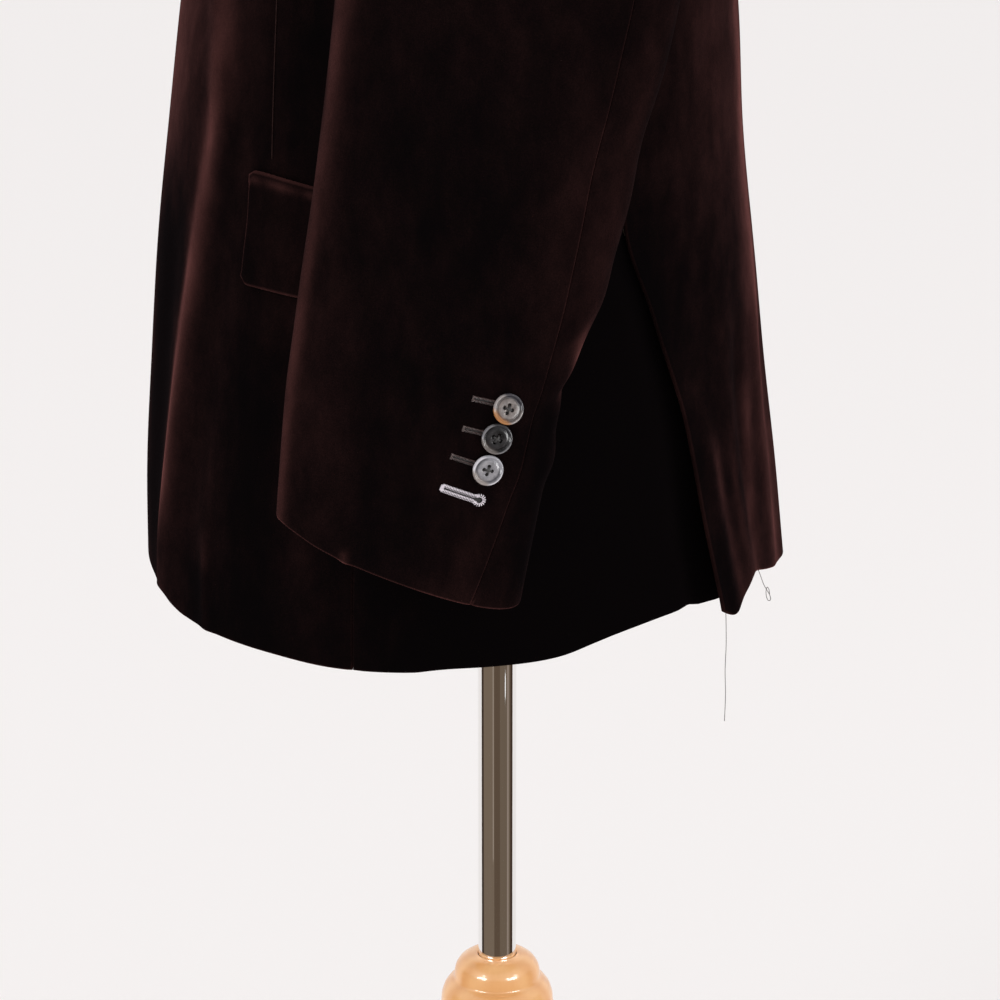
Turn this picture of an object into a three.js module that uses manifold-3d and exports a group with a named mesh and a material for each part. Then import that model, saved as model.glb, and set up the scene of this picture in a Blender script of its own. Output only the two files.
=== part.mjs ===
// A single-breasted velvet sport coat, worn by a limbless dress form on a steel pole and a turned
// wooden stand. Millimetres, +Z up. The coat faces -Y, so +X is its own left side. The origin is on
// the floor, on the pole's axis. Heights called h are measured upwards from the coat's hem.
import * as THREE from 'three';
import Module from 'manifold-3d';

// Driving sizes of the coat
const HEM_HEIGHT = 600; // hem above the floor
const CLOTH = 2.6; // velvet, canvas and lining together
const SEAM_GAP = 0.3; // between two pieces that are sewn to each other
const SHOULDER_GAP = 0.25; // from the shoulder line to each panel
const LAYER_GAP = 0.35; // between a piece and the panel it lies on
const LAPEL_GAP = 0.95; // under the lapels
const COLLAR_GAP = 1.2; // under the collar
const FRONT_OVERLAP = 19; // how far each front passes the centre line at the button
const UNDER_FRONT = 6.4; // how far the right front sinks where the left one laps over it
const HEM_CORNER = { width: 120, rise: 24 }; // the rounded front corner
const BUTTON_H = 336; // the front button
const BREAK_H = 356; // where the lapel starts to roll
const DEG = Math.PI / 180;

// The body of the coat, one row for each height. half is half the width, mid the y of the widest
// line, front and back the y at centre front and centre back. The powers say how square the plan is.
const BODY = [
  { h: 0, half: 200, mid: -40, front: -195.5, back: 161.5, frontPower: 1.95, backPower: 1.5 },
  { h: 60, half: 196, mid: -38, front: -194, back: 155, frontPower: 1.95, backPower: 1.55 },
  { h: 120, half: 190, mid: -32, front: -190, back: 147.5, frontPower: 1.95, backPower: 1.66 },
  { h: 190, half: 183, mid: -25, front: -184.2, back: 139, frontPower: 1.95, backPower: 1.85 },
  { h: 250, half: 176, mid: -20, front: -177.3, back: 132.5, frontPower: 2.0, backPower: 2.0 },
  { h: 310, half: 169, mid: -15, front: -169.3, back: 129, frontPower: 2.05, backPower: 2.1 },
  { h: 356, half: 167, mid: -11, front: -162, back: 124.5, frontPower: 2.1, backPower: 2.15 },
  { h: 420, half: 177, mid: -7, front: -155, back: 121, frontPower: 2.1, backPower: 2.2 },
  { h: 490, half: 195, mid: -3, front: -151, back: 126, frontPower: 2.05, backPower: 2.25 },
  { h: 560, half: 222, mid: 0, front: -149, back: 131, frontPower: 2.1, backPower: 2.3 },
  { h: 620, half: 233, mid: 4, front: -148, back: 132, frontPower: 2.4, backPower: 2.5 },
  { h: 690, half: 236, mid: 6, front: -148, back: 132, frontPower: 2.9, backPower: 2.9 },
  { h: 790, half: 236, mid: 6, front: -148, back: 132, frontPower: 2.9, backPower: 2.9 },
];

// The shoulder line runs from the neck to the shoulder point, and the chest and back arch up to it
const SHOULDER = { neckX: 66, neckH: 741, pointX: 226, pointH: 690, y: 6 };
const ARCH = { start: 560, frontPower: 1.62, backPower: 1.9 };

// The armhole, by the turn from the shoulder point (0) down to the underarm (180): the angle round
// the body of its front and back edges. Its height follows a circle.
const ARMHOLE = [
  { turn: 0, front: 73.7, back: 106.3 },
  { turn: 36, front: 70.9, back: 108.4 },
  { turn: 54, front: 67, back: 111.6 },
  { turn: 72, front: 61.3, back: 116.2 },
  { turn: 90, front: 57.6, back: 118.8 },
  { turn: 108, front: 57.2, back: 118.6 },
  { turn: 126, front: 62.5, back: 114 },
  { turn: 146, front: 73, back: 105 },
  { turn: 180, front: 90, back: 90 },
];
const ARMHOLE_SIZE = { midH: 590, rise: 100 };
// Rows of every panel below the armhole, and the steps of 15 degrees round it
const LOW_ROWS = 14;
const HOLE_STEP = 15;
const UNDERARM = { front: 240, back: 315 }; // turns where front and back meet the side body

// Angles round the body from centre front: the side body's front seam at the hem, and its back seam
const FRONT_SEAM_HEM = 77;
const BACK_SEAM = [
  { h: 0, angle: 152 },
  { h: 105, angle: 143.3 },
  { h: 166, angle: 134 },
  { h: 216, angle: 125.2 },
  { h: 360, angle: 116 },
];
const VENT = { top: 216, underlap: 11, tuck: 4, hemTuck: 6, flare: 12, flareWidth: 15 };

// Soft vertical folds in the skirt. angle is where the crest stands at the hem, drift how far it
// moves by the time it fades out at the height called top.
const FOLDS = [
  { angle: 29, drift: 9, top: 330, height: 4.2, width: 6 },
  { angle: 162, drift: -13, top: 230, height: 5, width: 5.5 },
];

// One sleeve, from the cuff (u = 0) to the upper arm (u = 1): the front and back outlines as seen
// from the side, the x of the middle, half the thickness, and the angle of the hindarm seam
const SLEEVE = [
  { u: 0, frontY: -106, frontH: 95, backY: 12, backH: 50, x: 237, half: 30, seam: 54 },
  { u: 0.11, frontY: -103, frontH: 131, backY: 20.5, backH: 96, x: 237, half: 32.5, seam: 52 },
  { u: 0.2, frontY: -100, frontH: 160, backY: 27, backH: 132, x: 236.5, half: 33.5, seam: 50 },
  { u: 0.28, frontY: -96, frontH: 187, backY: 37, backH: 166, x: 236, half: 34.5, seam: 47 },
  { u: 0.38, frontY: -91, frontH: 222, backY: 51, backH: 206, x: 235.5, half: 35.5, seam: 46 },
  { u: 0.5, frontY: -85, frontH: 266, backY: 66, backH: 256, x: 235, half: 37, seam: 45 },
  { u: 0.64, frontY: -78, frontH: 318, backY: 80, backH: 314, x: 234.5, half: 37.5, seam: 44 },
  { u: 0.78, frontY: -73, frontH: 372, backY: 90, backH: 372, x: 234, half: 37, seam: 44 },
  { u: 0.9, frontY: -73, frontH: 424, backY: 94, backH: 424, x: 233.5, half: 36.5, seam: 43 },
  { u: 1, frontY: -77, frontH: 468, backY: 95, backH: 468, x: 233.5, half: 36, seam: 43 },
];
const FOREARM_SEAM = 206; // angle round the sleeve, just inside its front fold
const SLEEVE_POWER = 0.88; // below 1 flattens the sleeve's section
const CUFF_DIP = 5; // the cuff's outer side hangs a little lower than its two folds

// Side pocket flap, on the front and the side body
const FLAP = { topH: 244, depth: 58, startAngle: 50, length: 152, cloth: 3, corner: 9 };

// Buttons: the outer size, the rim and the dish
const SLEEVE_BUTTON = { radius: 7.5, thick: 3.0, rim: 1.6, dish: 0.8 };
const FRONT_BUTTON = { radius: 10, thick: 4.0, rim: 2.2, dish: 1.1 };
const CUFF_BUTTONS = [
  { name: 'upper', h: 154.3, y: 4.9 },
  { name: 'middle', h: 140, y: -0.3 },
  { name: 'lower', h: 124.7, y: -4.6 },
];

// Lapel and collar outlines on the left side, as x and h on the front of the coat
const ROLL_TOP = { x: 60, h: 728 };
const GORGE = { x: 45, h: 659 }; // where the gorge seam meets the roll line
const NOTCH = { x: 84, h: 649 };
const LAPEL_TIP = { x: 117, h: 640 };
const LAPEL_BELLY = 9; // how far the lapel's edge bows outwards
const COLLAR_TIP = { x: 101, h: 683 };
const COLLAR = { cloth: 2.4, lean: 3 };
const COLLAR_STAND = [
  { t: 0, height: 28 },
  { t: 0.5, height: 24 },
  { t: 0.75, height: 13 },
  { t: 1, height: 3 },
];
// The collar's outer edge, from centre back to its front corner at t = 0.9 and the notch at t = 1
const COLLAR_EDGE = [
  { t: 0, x: 0, h: 722 },
  { t: 0.12, x: 40, h: 724 },
  { t: 0.24, x: 74, h: 727 },
  { t: 0.36, x: 96, h: 729 },
  { t: 0.5, x: 108, h: 727.6 },
  { t: 0.64, x: 111, h: 717 },
  { t: 0.81, x: 106, h: 696 },
  { t: 0.9, x: COLLAR_TIP.x, h: COLLAR_TIP.h },
  { t: 1, x: NOTCH.x, h: NOTCH.h + 1.6 },
];

// The dress form and its stand
const FORM_EASE = [
  { h: 96, ease: 34 },
  { h: 200, ease: 26 },
  { h: 340, ease: 10.5 },
  { h: 480, ease: 10.5 },
  { h: 560, ease: 10 },
  { h: 640, ease: 5 },
  { h: 690, ease: 1.2 },
];
const FORM = { bottomH: 96, chestH: 500, shoulderX: 221, ridge: 0.985 };
const NECK = { y: -12, halfWidth: 54, halfDepth: 46, top: 822, rootH: 690 };
const POLE_RADIUS = 11;
const SOCKET = { depth: 45, clearance: 0.3 };
const STAND_TOP = HEM_HEIGHT - 254;

const clamp01 = (t) => Math.min(1, Math.max(0, t));
const smooth = (t) => clamp01(t) ** 2 * (3 - 2 * clamp01(t));
const lerp = (a, b, t) => a + (b - a) * t;
const vec = (x, y, z) => new THREE.Vector3(x, y, z);
const steps = (n, f) => Array.from({ length: n + 1 }, (_, i) => f(i / n, i));

// Every column of a table at a value of its key column, along smooth curves through its rows
function rowAt(table, key, value) {
  const last = table.length - 1;
  const v = Math.min(Math.max(value, table[0][key]), table[last][key]);
  let i = 0;
  while (i < last - 1 && table[i + 1][key] < v) i += 1;
  const span = table[i + 1][key] - table[i][key];
  const t = (v - table[i][key]) / span;
  const slope = (name, k) => {
    const before = table[Math.max(k - 1, 0)];
    const after = table[Math.min(k + 1, last)];
    return (after[name] - before[name]) / (after[key] - before[key]);
  };
  const row = {};
  for (const name of Object.keys(table[0])) {
    const [a, b] = [table[i][name], table[i + 1][name]];
    const [p, q] = [slope(name, i) * span, slope(name, i + 1) * span];
    row[name] = a + p * t + (3 * (b - a) - 2 * p - q) * t ** 2 + (2 * (a - b) + p + q) * t ** 3;
  }
  return row;
}

const SLOPE = (SHOULDER.neckH - SHOULDER.pointH) / (SHOULDER.pointX - SHOULDER.neckX);
const NECK_TOP = (SLOPE * SHOULDER.neckX) / 2;
const shoulderH = (x) => (
  Math.abs(x) < SHOULDER.neckX
    ? SHOULDER.neckH + NECK_TOP * (1 - (x / SHOULDER.neckX) ** 2)
    : SHOULDER.neckH - (Math.abs(x) - SHOULDER.neckX) * SLOPE
);
const halfAt = (h) => rowAt(BODY, 'h', h).half;

// The y of the body's surface over x and h. side is -1 on the front and 1 on the back.
function bodyY(x, h, side) {
  const row = rowAt(BODY, 'h', h);
  const power = side < 0 ? row.frontPower : row.backPower;
  const reach = (side < 0 ? row.front : row.back) - row.mid;
  const share = Math.min(1, Math.abs(x) / row.half);
  const y = row.mid + reach * (1 - share ** power) ** (1 / power);
  if (h <= ARCH.start) return y;
  const archPower = side < 0 ? ARCH.frontPower : ARCH.backPower;
  const rise = clamp01((h - ARCH.start) / (shoulderH(x) - ARCH.start));
  const ridge = SHOULDER.y + side * SHOULDER_GAP;
  return ridge + (y - ridge) * (1 - rise ** archPower) ** (1 / archPower);
}

function foldHeight(degrees, h) {
  return FOLDS.reduce((sum, fold) => {
    const crest = fold.angle + (fold.drift * h) / fold.top;
    const bell = Math.exp(-(((degrees - crest) / fold.width) ** 2));
    return sum + fold.height * bell * smooth(1 - h / fold.top);
  }, 0);
}

// The bare surface at an angle round the body and a height, folds included
function surface(degrees, h) {
  const away = vec(Math.sin(degrees * DEG), -Math.cos(degrees * DEG), 0);
  const x = halfAt(h) * Math.sin(degrees * DEG);
  return vec(x, bodyY(x, h, degrees < 90 ? -1 : 1), h).addScaledVector(away, foldHeight(degrees, h));
}

// A point of the surface, moved out along its normal, together with that normal
function skin(degrees, h, out = 0) {
  const low = Math.min(h, shoulderH(halfAt(h) * Math.sin(degrees * DEG)) - 0.02);
  const along = surface(degrees + 0.002, low).sub(surface(degrees - 0.002, low));
  const up = surface(degrees, low + 0.005).sub(surface(degrees, low - 0.005));
  const normal = along.cross(up).normalize();
  return { point: surface(degrees, h).addScaledVector(normal, out), normal };
}

// The same from an x on the front (side -1) or the back (side 1)
function skinAt(x, h, side, out = 0) {
  const angle = Math.asin(Math.max(-1, Math.min(1, x / halfAt(h)))) / DEG;
  return skin(side < 0 ? angle : 180 - angle, h, out);
}

// A point of the armhole's edge. turn is 0 at its back, 90 at the shoulder point, 180 at its front
// and 270 under the arm.
function armhole(turn) {
  const down = (turn + 270) % 360;
  const fall = down > 180 ? 360 - down : down;
  if (fall < 0.01) return vec(SHOULDER.pointX, SHOULDER.y, SHOULDER.pointH);
  const row = rowAt(ARMHOLE, 'turn', fall);
  const angle = down < 180 ? row.front : row.back;
  return surface(angle, ARMHOLE_SIZE.midH + ARMHOLE_SIZE.rise * Math.cos(fall * DEG));
}

// Where the panels' seams reach the armhole, and the angles of the seams below that
const seamTop = {
  front: { h: armhole(UNDERARM.front).z, angle: rowAt(ARMHOLE, 'turn', UNDERARM.front - 90).front },
  back: { h: armhole(UNDERARM.back).z, angle: rowAt(ARMHOLE, 'turn', 450 - UNDERARM.back).back },
};
const frontSeam = (h) => lerp(FRONT_SEAM_HEM, seamTop.front.angle, h / seamTop.front.h);
function backSeam(h) {
  const last = BACK_SEAM[BACK_SEAM.length - 1];
  if (h < last.h) return rowAt(BACK_SEAM, 'h', h).angle;
  return lerp(last.angle, seamTop.back.angle, (h - last.h) / (seamTop.back.h - last.h));
}
const HALF_GAP = SEAM_GAP / 2 / 3.1; // half a seam gap as an angle round the body, in degrees

// Turns points and triangles into a geometry whose faces point outwards
function closed(points, faces) {
  const volume = faces.reduce((sum, [a, b, c]) => {
    return sum + points[a].dot(vec(0, 0, 0).crossVectors(points[b], points[c]));
  }, 0);
  const geometry = new THREE.BufferGeometry().setFromPoints(points);
  geometry.setIndex(faces.flatMap(([a, b, c]) => (volume > 0 ? [a, b, c] : [a, c, b])));
  geometry.computeVertexNormals();
  return geometry;
}

// A wall of cloth: a grid of points with normals on its outer face, thickened inwards
function wall(grid, thick = CLOTH) {
  const [rows, cols] = [grid.length, grid[0].length];
  const outer = grid.flat().map(({ point }) => point.clone());
  const inner = grid.flat().map(({ point, normal }) => point.clone().addScaledVector(normal, -thick));
  const back = rows * cols;
  const faces = [];
  const at = (r, c) => r * cols + c;
  for (let r = 0; r < rows - 1; r += 1) {
    for (let c = 0; c < cols - 1; c += 1) {
      const [a, b, d, e] = [at(r, c), at(r, c + 1), at(r + 1, c + 1), at(r + 1, c)];
      faces.push([a, b, d], [a, d, e], [back + a, back + d, back + b], [back + a, back + e, back + d]);
    }
  }
  const rim = (a, b) => faces.push([b, a, back + a], [b, back + a, back + b]);
  for (let c = 0; c < cols - 1; c += 1) {
    rim(at(0, c), at(0, c + 1));
    rim(at(rows - 1, c + 1), at(rows - 1, c));
  }
  for (let r = 0; r < rows - 1; r += 1) {
    rim(at(r, cols - 1), at(r + 1, cols - 1));
    rim(at(r + 1, 0), at(r, 0));
  }
  return closed([...outer, ...inner], faces);
}

// Gives a plain grid of points the normals of its own slope, times a sign
function withNormals(grid, sign = 1) {
  const [rows, cols] = [grid.length, grid[0].length];
  return grid.map((row, r) => row.map((point, c) => {
    const along = grid[r][Math.min(c + 1, cols - 1)].clone().sub(grid[r][Math.max(c - 1, 0)]);
    const up = grid[Math.min(r + 1, rows - 1)][c].clone().sub(grid[Math.max(r - 1, 0)][c]);
    return { point, normal: along.cross(up).normalize().multiplyScalar(sign) };
  }));
}

// Closed rings of points joined one to the next, with the two end rings closed by the given caps
function loft(rings, cap) {
  const n = rings[0].length;
  const faces = [];
  for (let r = 0; r < rings.length - 1; r += 1) {
    for (let i = 0; i < n; i += 1) {
      const [a, b] = [r * n + i, r * n + ((i + 1) % n)];
      faces.push([a, b, b + n], [a, b + n, a + n]);
    }
  }
  const top = (rings.length - 1) * n;
  cap(n).forEach(([a, b, c]) => faces.push([c, b, a], [top + a, top + b, top + c]));
  return closed(rings.flat(), faces);
}

const velvet = new THREE.MeshStandardMaterial({ color: 0x1d0f0c, roughness: 0.95, metalness: 0 });
const linen = new THREE.MeshStandardMaterial({ color: 0xd8cfbd, roughness: 0.9, metalness: 0 });
const steel = new THREE.MeshStandardMaterial({ color: 0xb9b6b0, roughness: 0.15, metalness: 1 });
const wood = new THREE.MeshStandardMaterial({ color: 0xe0a868, roughness: 0.25, metalness: 0 });
const horn = new THREE.MeshStandardMaterial({ color: 0x85796f, roughness: 0.3, metalness: 0 });

const part = new THREE.Group();
function add(name, geometry, material, raise = HEM_HEIGHT) {
  const mesh = new THREE.Mesh(geometry, material.clone());
  mesh.name = name;
  mesh.position.z = raise;
  part.add(mesh);
  return mesh;
}
const mirrored = (grid) => grid.map((row) => row.map(({ point, normal }) => (
  { point: vec(-point.x, point.y, point.z), normal: vec(-normal.x, normal.y, normal.z) }
)));
function addPair(name, left, right = left, thick = CLOTH) {
  add(`${name}_left`, wall(left, thick), velvet);
  add(`${name}_right`, wall(mirrored(right), thick), velvet);
}

// Front edge of a front panel: x on its own side of the centre line, at a height
const rollLine = (h) => lerp(-FRONT_OVERLAP, ROLL_TOP.x, (h - BREAK_H) / (ROLL_TOP.h - BREAK_H));
function frontEdge(h) {
  if (h < BREAK_H) return -FRONT_OVERLAP * smooth(h / 300) ** 0.8;
  if (h < ROLL_TOP.h) return rollLine(h);
  return lerp(ROLL_TOP.x, SHOULDER.neckX, smooth((h - ROLL_TOP.h) / (SHOULDER.neckH - ROLL_TOP.h)));
}
// Height on the inner side of a panel: even rows up to the armhole's foot, then closer and closer
const LOW_TOP = (BREAK_H * LOW_ROWS) / 12;
const climb = (low, high) => (
  low < 1 ? LOW_TOP * low : lerp(LOW_TOP, SHOULDER.neckH, Math.sin(high * 90 * DEG))
);
// How far a front sinks near the centre line, for the right one under the left one
const sink = (x, h, depth) => depth * smooth((112 - x) / 90) * smooth((550 - h) / 110);

// The fronts: rows climb from the hem to the shoulder seam, columns run from the front edge to the
// side seam and, higher up, to the armhole
function frontGrid(depth) {
  const high = (UNDERARM.front - 90) / HOLE_STEP;
  return steps(LOW_ROWS + high, (v, r) => {
    const edgeH = climb(r / LOW_ROWS, (r - LOW_ROWS) / high);
    const edge = { x: frontEdge(edgeH), h: edgeH };
    const hole = armhole(UNDERARM.front - Math.max(r - LOW_ROWS, 0) * HOLE_STEP);
    const seamH = (Math.min(r, LOW_ROWS) / LOW_ROWS) * seamTop.front.h;
    const seamX = halfAt(seamH) * Math.sin((frontSeam(seamH) - HALF_GAP) * DEG);
    const side = r > LOW_ROWS ? { x: hole.x, h: hole.z } : { x: seamX, h: seamH };
    return steps(11, (s) => {
      const turned = s ** lerp(1.55, 1.1, smooth(v / 0.3));
      const flat = smooth((v - 0.55) / 0.3);
      const share = lerp(Math.sin(turned * 76 * DEG) / Math.sin(76 * DEG), s, flat);
      const x = lerp(edge.x, side.x, share);
      const inside = clamp01(1 - (x - edge.x) / HEM_CORNER.width);
      const corner = HEM_CORNER.rise * (1 - Math.sqrt(1 - inside ** 2));
      const h = lerp(edge.h, side.h, share) + corner * clamp01(1 - v / 0.25);
      return skinAt(x, h, -1, -sink(x, h, depth));
    });
  });
}
addPair('front', frontGrid(0), frontGrid(UNDER_FRONT));

// The side bodies, with the underlap of the side vent tucked in beneath the back
const sideGrid = steps(LOW_ROWS, (v) => steps(8, (s) => {
  const fall = lerp(UNDERARM.front, UNDERARM.back, s);
  const h = v * armhole(fall).z;
  const open = smooth((VENT.top - h) / 30);
  const seam = backSeam(h) - HALF_GAP;
  const spread = (from, to, lap) => (
    s < 0.75 ? lerp(from, to - 3.5, s / 0.75) : lerp(to - 3.5, to + lap, (s - 0.75) / 0.25)
  );
  const row = rowAt(ARMHOLE, 'turn', fall < 270 ? fall - 90 : 450 - fall);
  const shift = (fall < 270 ? row.front : row.back) - spread(seamTop.front.angle, seamTop.back.angle, 0);
  const angle = spread(frontSeam(h) + HALF_GAP, seam, VENT.underlap * open)
    + shift * smooth((v - 0.6) / 0.4);
  const tuck = lerp(VENT.hemTuck, VENT.tuck, clamp01(h / VENT.top)) * smooth((VENT.top + 34 - h) / 30);
  return skin(angle, h, -tuck * smooth((angle - seam + 7) / 6.5));
}));
addPair('side_body', sideGrid);

// The backs, from the side seam and armhole to the centre back seam. Below the vent's top the edge
// stands away from the side body.
const backHigh = (450 - UNDERARM.back) / HOLE_STEP;
const backGrid = steps(LOW_ROWS + backHigh, (v, r) => {
  const seamH = (Math.min(r, LOW_ROWS) / LOW_ROWS) * seamTop.back.h;
  const hole = armhole(UNDERARM.back + Math.max(r - LOW_ROWS, 0) * HOLE_STEP);
  const seamX = halfAt(seamH) * Math.sin((backSeam(seamH) + HALF_GAP) * DEG);
  const side = r > LOW_ROWS ? { x: hole.x, h: hole.z } : { x: seamX, h: seamH };
  const high = clamp01((r - LOW_ROWS) / backHigh);
  const middle = { x: SEAM_GAP / 2, h: climb(r / LOW_ROWS, high) };
  return steps(10, (s) => {
    const share = lerp(1 - (1 - s) ** 0.85, s, smooth((v - 0.6) / 0.3));
    const x = lerp(side.x, middle.x, share);
    const line = Math.min(shoulderH(x), SHOULDER.neckH) - lerp(side.h, middle.h, share);
    const h = lerp(side.h, middle.h, share) + line * high ** 2.5 * smooth((high - 0.3) / 0.6);
    const angle = 180 - Math.asin(x / halfAt(h)) / DEG;
    const open = clamp01(1 - h / VENT.top) ** 1.25;
    const away = VENT.flare * open * (1 - clamp01((angle - backSeam(h)) / VENT.flareWidth)) ** 1.6;
    return skinAt(x, h, 1, away);
  });
});
addPair('back', backGrid);

// A point of the sleeve's surface. turn is 0 at its back, 90 outside, 180 at its front, 270 inside.
// w runs from the cuff (0) to the upper arm (1) and on over the sleeve head to the armhole (2).
function sleevePoint(turn, w) {
  const row = rowAt(SLEEVE, 'u', Math.min(w, 1));
  const bend = (t) => Math.sign(t) * Math.abs(t) ** SLEEVE_POWER;
  const [along, across] = [bend(Math.cos(turn * DEG)), bend(Math.sin(turn * DEG))];
  const y = (row.backY + row.frontY) / 2 + ((row.backY - row.frontY) / 2) * along;
  const h = (row.backH + row.frontH) / 2 + ((row.backH - row.frontH) / 2) * along;
  const dip = CUFF_DIP * Math.sin(turn * DEG) * smooth(1 - w / 0.2);
  const start = vec(row.x + row.half * across, y, h - dip);
  if (w <= 1) return start;
  const t = w - 1;
  const top = (1 + Math.sin(turn * DEG)) / 2;
  const end = armhole(turn).add(vec(SEAM_GAP + 0.1, 0, 0.9 * (1 - top)));
  const size = start.distanceTo(end);
  const leave = vec(0, 0, size * 1.05);
  const arrive = vec(-top, 0, 0.95 * (1 - top) + 0.1).multiplyScalar(size * (1.15 - 0.3 * top));
  return start.multiplyScalar(2 * t ** 3 - 3 * t ** 2 + 1)
    .addScaledVector(end, 3 * t ** 2 - 2 * t ** 3)
    .addScaledVector(leave, t ** 3 - 2 * t ** 2 + t)
    .addScaledVector(arrive, t ** 3 - t ** 2);
}
function sleeveSkin(turn, w, out = 0) {
  const [below, above] = [Math.max(w - 0.004, 0), Math.min(w + 0.004, 2)];
  const around = sleevePoint(turn - 0.5, w).sub(sleevePoint(turn + 0.5, w));
  const up = sleevePoint(turn, above).sub(sleevePoint(turn, below));
  const normal = around.cross(up).normalize();
  return { point: sleevePoint(turn, w).addScaledVector(normal, out), normal };
}

// The two-piece sleeves: a top sleeve and an under sleeve, seamed along the forearm and the hindarm
const TURN_GAP = 0.13; // half a seam gap as an angle round the sleeve, in degrees
const hindarm = (w) => rowAt(SLEEVE, 'u', Math.min(w, 1)).seam + 2 * Math.max(w - 1, 0);
const forearm = (w) => FOREARM_SEAM + 4 * Math.max(w - 1, 0);
const sleeveRow = (count, from, to) => (v) => {
  const w = v < 0.7 ? v / 0.7 : 1 + (v - 0.7) / 0.3;
  const gap = TURN_GAP * (1 + 2.2 * Math.max(w - 1, 0));
  return steps(count, (s) => sleeveSkin(lerp(from(w) + gap, to(w) - gap, s), w));
};
addPair('top_sleeve', steps(16, sleeveRow(11, hindarm, forearm)));
addPair('under_sleeve', steps(16, sleeveRow(13, forearm, (w) => hindarm(w) + 360)));

// The pocket flaps, laid on the front and the side body
const flapSpan = FLAP.length / 2.72; // its length as an angle round the body
const flapOut = LAYER_GAP + FLAP.cloth;
const flapColumns = [0, 0.018, 0.055, 0.12, 0.21, 0.3, 0.4, 0.5, 0.6, 0.7, 0.79, 0.88, 0.945, 0.982, 1];
const flapGrid = steps(4, (v) => flapColumns.map((s) => {
  const inset = Math.min(s, 1 - s) * FLAP.length;
  const near = FLAP.corner - Math.min(inset, FLAP.corner);
  const corner = FLAP.corner - Math.sqrt(FLAP.corner ** 2 - near ** 2);
  const h = lerp(FLAP.topH - FLAP.depth + corner, FLAP.topH, v);
  return skin(FLAP.startAngle + flapSpan * s, h, flapOut);
}));
addPair('pocket_flap', flapGrid, flapGrid, FLAP.cloth);

// The lapels, rolled back on the fronts from the roll line
function lapelGrid(depth) {
  return steps(16, (v) => {
    const inner = { h: lerp(BREAK_H + 6, GORGE.h, v) };
    inner.x = rollLine(inner.h) - 1;
    const bow = LAPEL_BELLY * Math.sin(Math.PI * v) + 5 * (1 - v);
    const edge = { h: lerp(BREAK_H + 6, LAPEL_TIP.h, v) };
    edge.x = lerp(rollLine(BREAK_H + 6), LAPEL_TIP.x, v ** 0.92) + bow;
    return steps(6, (s) => {
      const [x, h] = [lerp(inner.x, edge.x, s), lerp(inner.h, edge.h, s)];
      const roll = 2.2 * (1 - s) ** 3 * smooth((v - 0.25) / 0.4);
      return skinAt(x, h, -1, LAPEL_GAP + CLOTH + roll - sink(x, h, depth));
    });
  });
}
addPair('lapel', lapelGrid(0), lapelGrid(UNDER_FRONT));

// The neckline that the collar is sewn to. t runs from the centre back (0) over the neck point (0.5)
// to the gorge (1); below 0 it is the right side.
function neckline(t) {
  const [side, share] = [Math.sign(t) || 1, Math.abs(t)];
  const h = share < 0.5 ? SHOULDER.neckH : lerp(SHOULDER.neckH, GORGE.h, (share - 0.5) * 2);
  const roll = lerp(rollLine(ROLL_TOP.h), SHOULDER.neckX, smooth((h - ROLL_TOP.h) / 13));
  const x = share < 0.5 ? SHOULDER.neckX * Math.sin(share * 180 * DEG) : roll;
  const { point } = skinAt(h < ROLL_TOP.h ? rollLine(h) : x, h, share < 0.5 ? 1 : -1);
  return vec(point.x * side, point.y, point.z);
}
const outwards = (p) => vec(p.x, p.y - NECK.y, 0).normalize();
const standHeight = (t) => rowAt(COLLAR_STAND, 't', Math.abs(t)).height;
const foldLine = (t) => {
  const seam = neckline(t);
  const inset = SEAM_GAP + 0.1 + COLLAR.lean * (standHeight(t) / COLLAR_STAND[0].height);
  return seam.addScaledVector(outwards(seam), -inset).add(vec(0, 0, standHeight(t)));
};
const collarT = [0, 0.12, 0.24, 0.36, 0.44, 0.5, 0.56, 0.64, 0.72, 0.81, 0.9, 0.95, 1];
const wholeCollar = [...collarT.slice(1).reverse().map((t) => -t), ...collarT];
const collarStand = steps(3, (v) => wholeCollar.map((t) => {
  const foot = neckline(t);
  foot.addScaledVector(outwards(foot), -SEAM_GAP - 0.1).add(vec(0, 0, SEAM_GAP + 0.1));
  return foot.lerp(foldLine(t), v);
}));
add('collar_stand', wall(withNormals(collarStand, -1), COLLAR.cloth), velvet);

// A point moved out of the coat where it would sink into it
function resting(p, out) {
  const top = shoulderH(p.x);
  const onRidge = Math.abs(p.y - SHOULDER.y) < 14;
  if (p.z >= top) return onRidge ? vec(p.x, p.y, Math.max(p.z, top + out * 1.04)) : p;
  const side = p.y < SHOULDER.y ? -1 : 1;
  const { point } = skinAt(Math.abs(p.x), p.z, side, out);
  return (p.y - point.y) * side > 0 ? p : vec(p.x, point.y, point.z);
}

// The collar's fall, from its outer edge up and over the stand
function collarEdge(t) {
  const row = rowAt(COLLAR_EDGE, 't', Math.abs(t));
  const { point } = skinAt(row.x, Math.min(row.h, shoulderH(row.x)), Math.abs(t) < 0.5 ? 1 : -1, collarOut);
  return vec(point.x * (Math.sign(t) || 1), point.y, point.z);
}
const collarOut = COLLAR_GAP + COLLAR.cloth;
const collarFall = steps(6, (v) => wholeCollar.map((t) => {
  const fold = foldLine(t);
  const away = outwards(fold);
  const shoulder = fold.clone().addScaledVector(away, 4.4).add(vec(0, 0, 1.7));
  const beside = smooth((Math.abs(t) - 0.5) / 0.3);
  const lid = fold.clone().addScaledVector(away, lerp(-1.8, 3, beside)).add(vec(0, 0, COLLAR.cloth + 1.1));
  if (v === 1) return lid;
  return resting(collarEdge(t).lerp(shoulder, v * 1.2), collarOut);
}));
add('collar_fall', wall(withNormals(collarFall, -1), COLLAR.cloth), velvet);

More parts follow.
